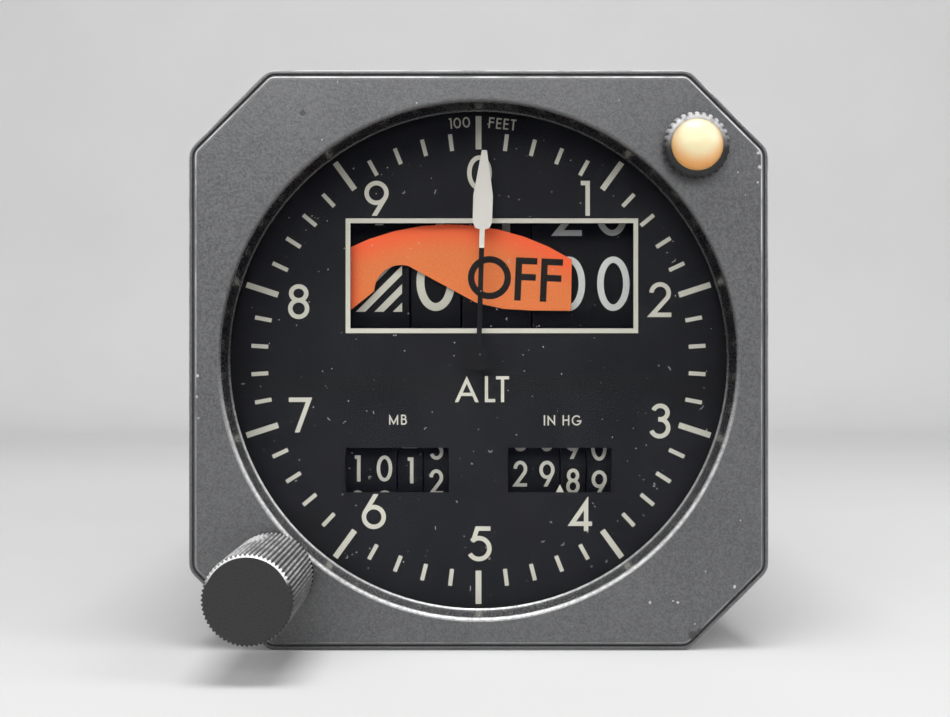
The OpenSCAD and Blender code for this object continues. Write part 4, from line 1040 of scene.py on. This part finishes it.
def hatching(r):
    """Slanting stripes that fill a field on the front of a drum."""
    side = HATCH_WIDTH / 2
    top = HATCH_HEIGHT / 2
    stripe = HATCH_PITCH / 2
    field = []
    for k in range(math.ceil((HATCH_WIDTH + HATCH_HEIGHT) / HATCH_PITCH)):
        foot = side - (k + 0.5) * HATCH_PITCH
        head = foot + HATCH_HEIGHT
        bar = [(foot, -top), (foot + stripe, -top), (head + stripe, top), (head, top)]
        turned = [Vector((z, x)) for x, z in bar]
        cut = clipped(clipped(turned, -side, True), side, False)
        if len(cut) > 2:
            field.append([Vector((p.y, p.x)) for p in cut])
    return placed(field, 0, math.radians(HATCH_REST) * r)


def print_drum(body, labels, letters, finish, hatched=False):
    """Prints labels on the drum of a body, and a hatched field if asked."""
    drum = body if body.endswith("drum") else body + "_drum"
    r, place = on_drum(drum, body)
    shapes = rim_figures(r, labels, RESTS[body], letters)
    if hatched:
        shapes += hatching(r)
    printed(drum + "_figures", shapes, place, finish, body, cuts=drum_cuts(r))


def digits_from(shown):
    return [str((shown + k) % FIGURES_ON_DRUM) for k in range(FIGURES_ON_DRUM)]


def pairs_from(shown):
    """Two-figure labels of a pressure drum, upwards from the one that is shown."""
    half = FIGURES_ON_DRUM // 2
    return [f"{shown + (k + half) % FIGURES_ON_DRUM - half:02d}" for k in range(FIGURES_ON_DRUM)]


digits = digits_from(0)
print_drum("ten_thousands_drum", [""] + digits[1:], TEN_THOUSANDS, cream_print, hatched=True)
print_drum("thousands_drum", digits, THOUSANDS, cream_print)
print_drum("hundreds_drum", digits, HUNDREDS, cream_print)
print_drum("tens_drum", ["00", "20", "40", "60", "80"] * 2, TENS, grey_print)
print_drum("millibar_thousands", pairs_from(10), MILLIBAR, cream_print)
print_drum("millibar_tens", digits_from(1), MILLIBAR, cream_print)
print_drum("millibar_units", digits_from(2), MILLIBAR, cream_print)
print_drum("inch_units", pairs_from(29), INCH, cream_print)
print_drum("inch_tenths", digits_from(8), INCH, cream_print)
print_drum("inch_hundredths", digits_from(9), INCH, cream_print)


# Dust on the glass

def add_speck(build, centre, r, turn):
    """A small flattened grain."""
    around = []
    for k in range(SPECK_CORNERS):
        a = turn + 2 * math.pi * k / SPECK_CORNERS
        reach = r * (1.25 if k % 2 else 0.85)
        around.append(build.verts.new(centre + Vector((math.cos(a), 0, math.sin(a))) * reach))
    front = build.verts.new(centre - Vector((0, GRAIN_LIFT * MM, 0)))
    for p, q in zip(around, around[1:] + around[:1]):
        build.faces.new([p, q, front])
    build.faces.new(around[::-1])


def add_fibre(build, centre, length, turn, curl):
    """A short bent fibre of square section that lies on the glass."""
    r = GRAIN_LIFT * MM
    front = Vector((0, -r, 0))
    rings = []
    for k in range(FIBRE_STEPS + 1):
        along = k / FIBRE_STEPS - 0.5
        a = turn + curl * along
        point = centre + front + Vector((math.cos(a), 0, math.sin(a))) * length * along
        side = Vector((-math.sin(a), 0, math.cos(a))) * r
        rings.append([build.verts.new(point + offset) for offset in (side, front, -side, -front)])
    for first, second in zip(rings, rings[1:]):
        for k in range(4):
            build.faces.new([first[k], first[(k + 1) % 4], second[(k + 1) % 4], second[k]])
    build.faces.new(rings[0])
    build.faces.new(rings[-1][::-1])


def glass_dust():
    draw = random.Random(DUST_SEED)
    build = bmesh.new()
    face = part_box("cover_glass")[0].y
    for k in range(DUST_COUNT):
        r = DUST_REACH * MM * math.sqrt(draw.random())
        a = draw.uniform(0, 2 * math.pi)
        centre = Vector((r * math.cos(a), face, r * math.sin(a)))
        turn = draw.uniform(0, 6)
        if k % FIBRE_EVERY == 0:
            length = draw.uniform(*FIBRE_LENGTH) * MM
            add_fibre(build, centre, length, turn, draw.uniform(-FIBRE_CURL, FIBRE_CURL))
        else:
            add_speck(build, centre, draw.uniform(*SPECK_R) * MM, turn)
    dust = grained("dust", (0.5, 0.5, 0.48), 0.2, 0.1, (0.7, 0.9))
    return add_mesh("glass_dust", build, dust, "housing")


glass_dust()


# Stage, light and camera

def grey(value):
    return value, value, value


def stage():
    """Pale floor under the part that rises into a backdrop."""
    floor_z = cad_box[0].z
    angles = [math.pi / 2 * k / BEND_STEPS for k in range(BEND_STEPS + 1)]
    bend = [(FLOOR_BACK + BEND * math.sin(a), floor_z + BEND - BEND * math.cos(a)) for a in angles]
    profile = [(-STAGE_HALF, floor_z)] + bend + [(FLOOR_BACK + BEND, WALL_TOP)]
    build = bmesh.new()
    rows = [[build.verts.new((x, y, z)) for x in (-STAGE_HALF, STAGE_HALF)] for y, z in profile]
    for a, b in zip(rows, rows[1:]):
        face = build.faces.new([a[0], a[1], b[1], b[0]])
        face.smooth = True
    mesh = bpy.data.meshes.new("stage")
    build.to_mesh(mesh)
    build.free()
    finish = Finish("stage", roughness=0.9)
    behind = finish.span(finish.coordinate("Y", FLOOR_BACK / MM), -BEND / MM, BEND / MM)
    cloudy = finish.noise(60, 2)
    floor_tone = finish.mix(cloudy, *map(grey, FLOOR_TONES))
    wall_tone = finish.mix(cloudy, *map(grey, WALL_TONES))
    finish.feed("Base Color", finish.mix(behind, floor_tone, wall_tone))
    mesh.materials.append(finish.material)
    floor = bpy.data.objects.new("stage", mesh)
    bpy.context.scene.collection.objects.link(floor)


def soft_box(name, place, size, watts):
    """A rectangular lamp that faces the part."""
    lamp = bpy.data.lights.new(name, "AREA")
    lamp.shape = "RECTANGLE"
    lamp.size, lamp.size_y = size
    lamp.energy = watts
    holder = bpy.data.objects.new(name, lamp)
    holder.location = place
    holder.rotation_euler = (-Vector(place)).to_track_quat("-Z", "Y").to_euler()
    bpy.context.scene.collection.objects.link(holder)


def world():
    """Surroundings brighter overhead, with an even tone where the camera, metal and glass see them."""
    made = bpy.data.worlds.new("surroundings")
    made.use_nodes = True
    tree = made.node_tree
    background = tree.nodes["Background"]
    background.inputs["Color"].default_value = (1, 1, 1, 1)
    place = tree.nodes.new("ShaderNodeTexCoord")
    split = tree.nodes.new("ShaderNodeSeparateXYZ")
    tree.links.new(place.outputs["Generated"], split.inputs[0])
    rise = tree.nodes.new("ShaderNodeMapRange")
    rise.interpolation_type = "SMOOTHSTEP"
    for socket, value in zip(rise.inputs[1:5], (SKY_LOW, SKY_HIGH, *SKY_STRENGTHS)):
        socket.default_value = value
    tree.links.new(split.outputs["Z"], rise.inputs[0])
    path = tree.nodes.new("ShaderNodeLightPath")
    shown = path.outputs["Is Camera Ray"]
    for kind in ("Is Glossy Ray", "Is Transmission Ray"):
        either = tree.nodes.new("ShaderNodeMath")
        either.operation = "MAXIMUM"
        tree.links.new(shown, either.inputs[0])
        tree.links.new(path.outputs[kind], either.inputs[1])
        shown = either.outputs[0]
    seen = tree.nodes.new("ShaderNodeMix")
    tree.links.new(shown, seen.inputs[0])
    tree.links.new(rise.outputs[0], seen.inputs[2])
    seen.inputs[3].default_value = SEEN_STRENGTH
    tree.links.new(seen.outputs[0], background.inputs["Strength"])
    bpy.context.scene.world = made


def add_camera():
    """Camera that looks straight at the dial."""
    data = bpy.data.cameras.new("camera")
    data.lens = CAMERA_LENS
    data.sensor_width = SENSOR_WIDTH
    data.clip_start = CAMERA_CLIP * MM
    camera = bpy.data.objects.new("camera", data)
    camera.location = [value * MM for value in CAMERA_PLACE]
    camera.rotation_euler = (math.pi / 2, 0, 0)
    bpy.context.scene.collection.objects.link(camera)
    bpy.context.scene.camera = camera


stage()
for lamp in SOFT_BOXES:
    soft_box(*lamp)
world()
add_camera()
bpy.context.scene.view_settings.view_transform = "Standard"
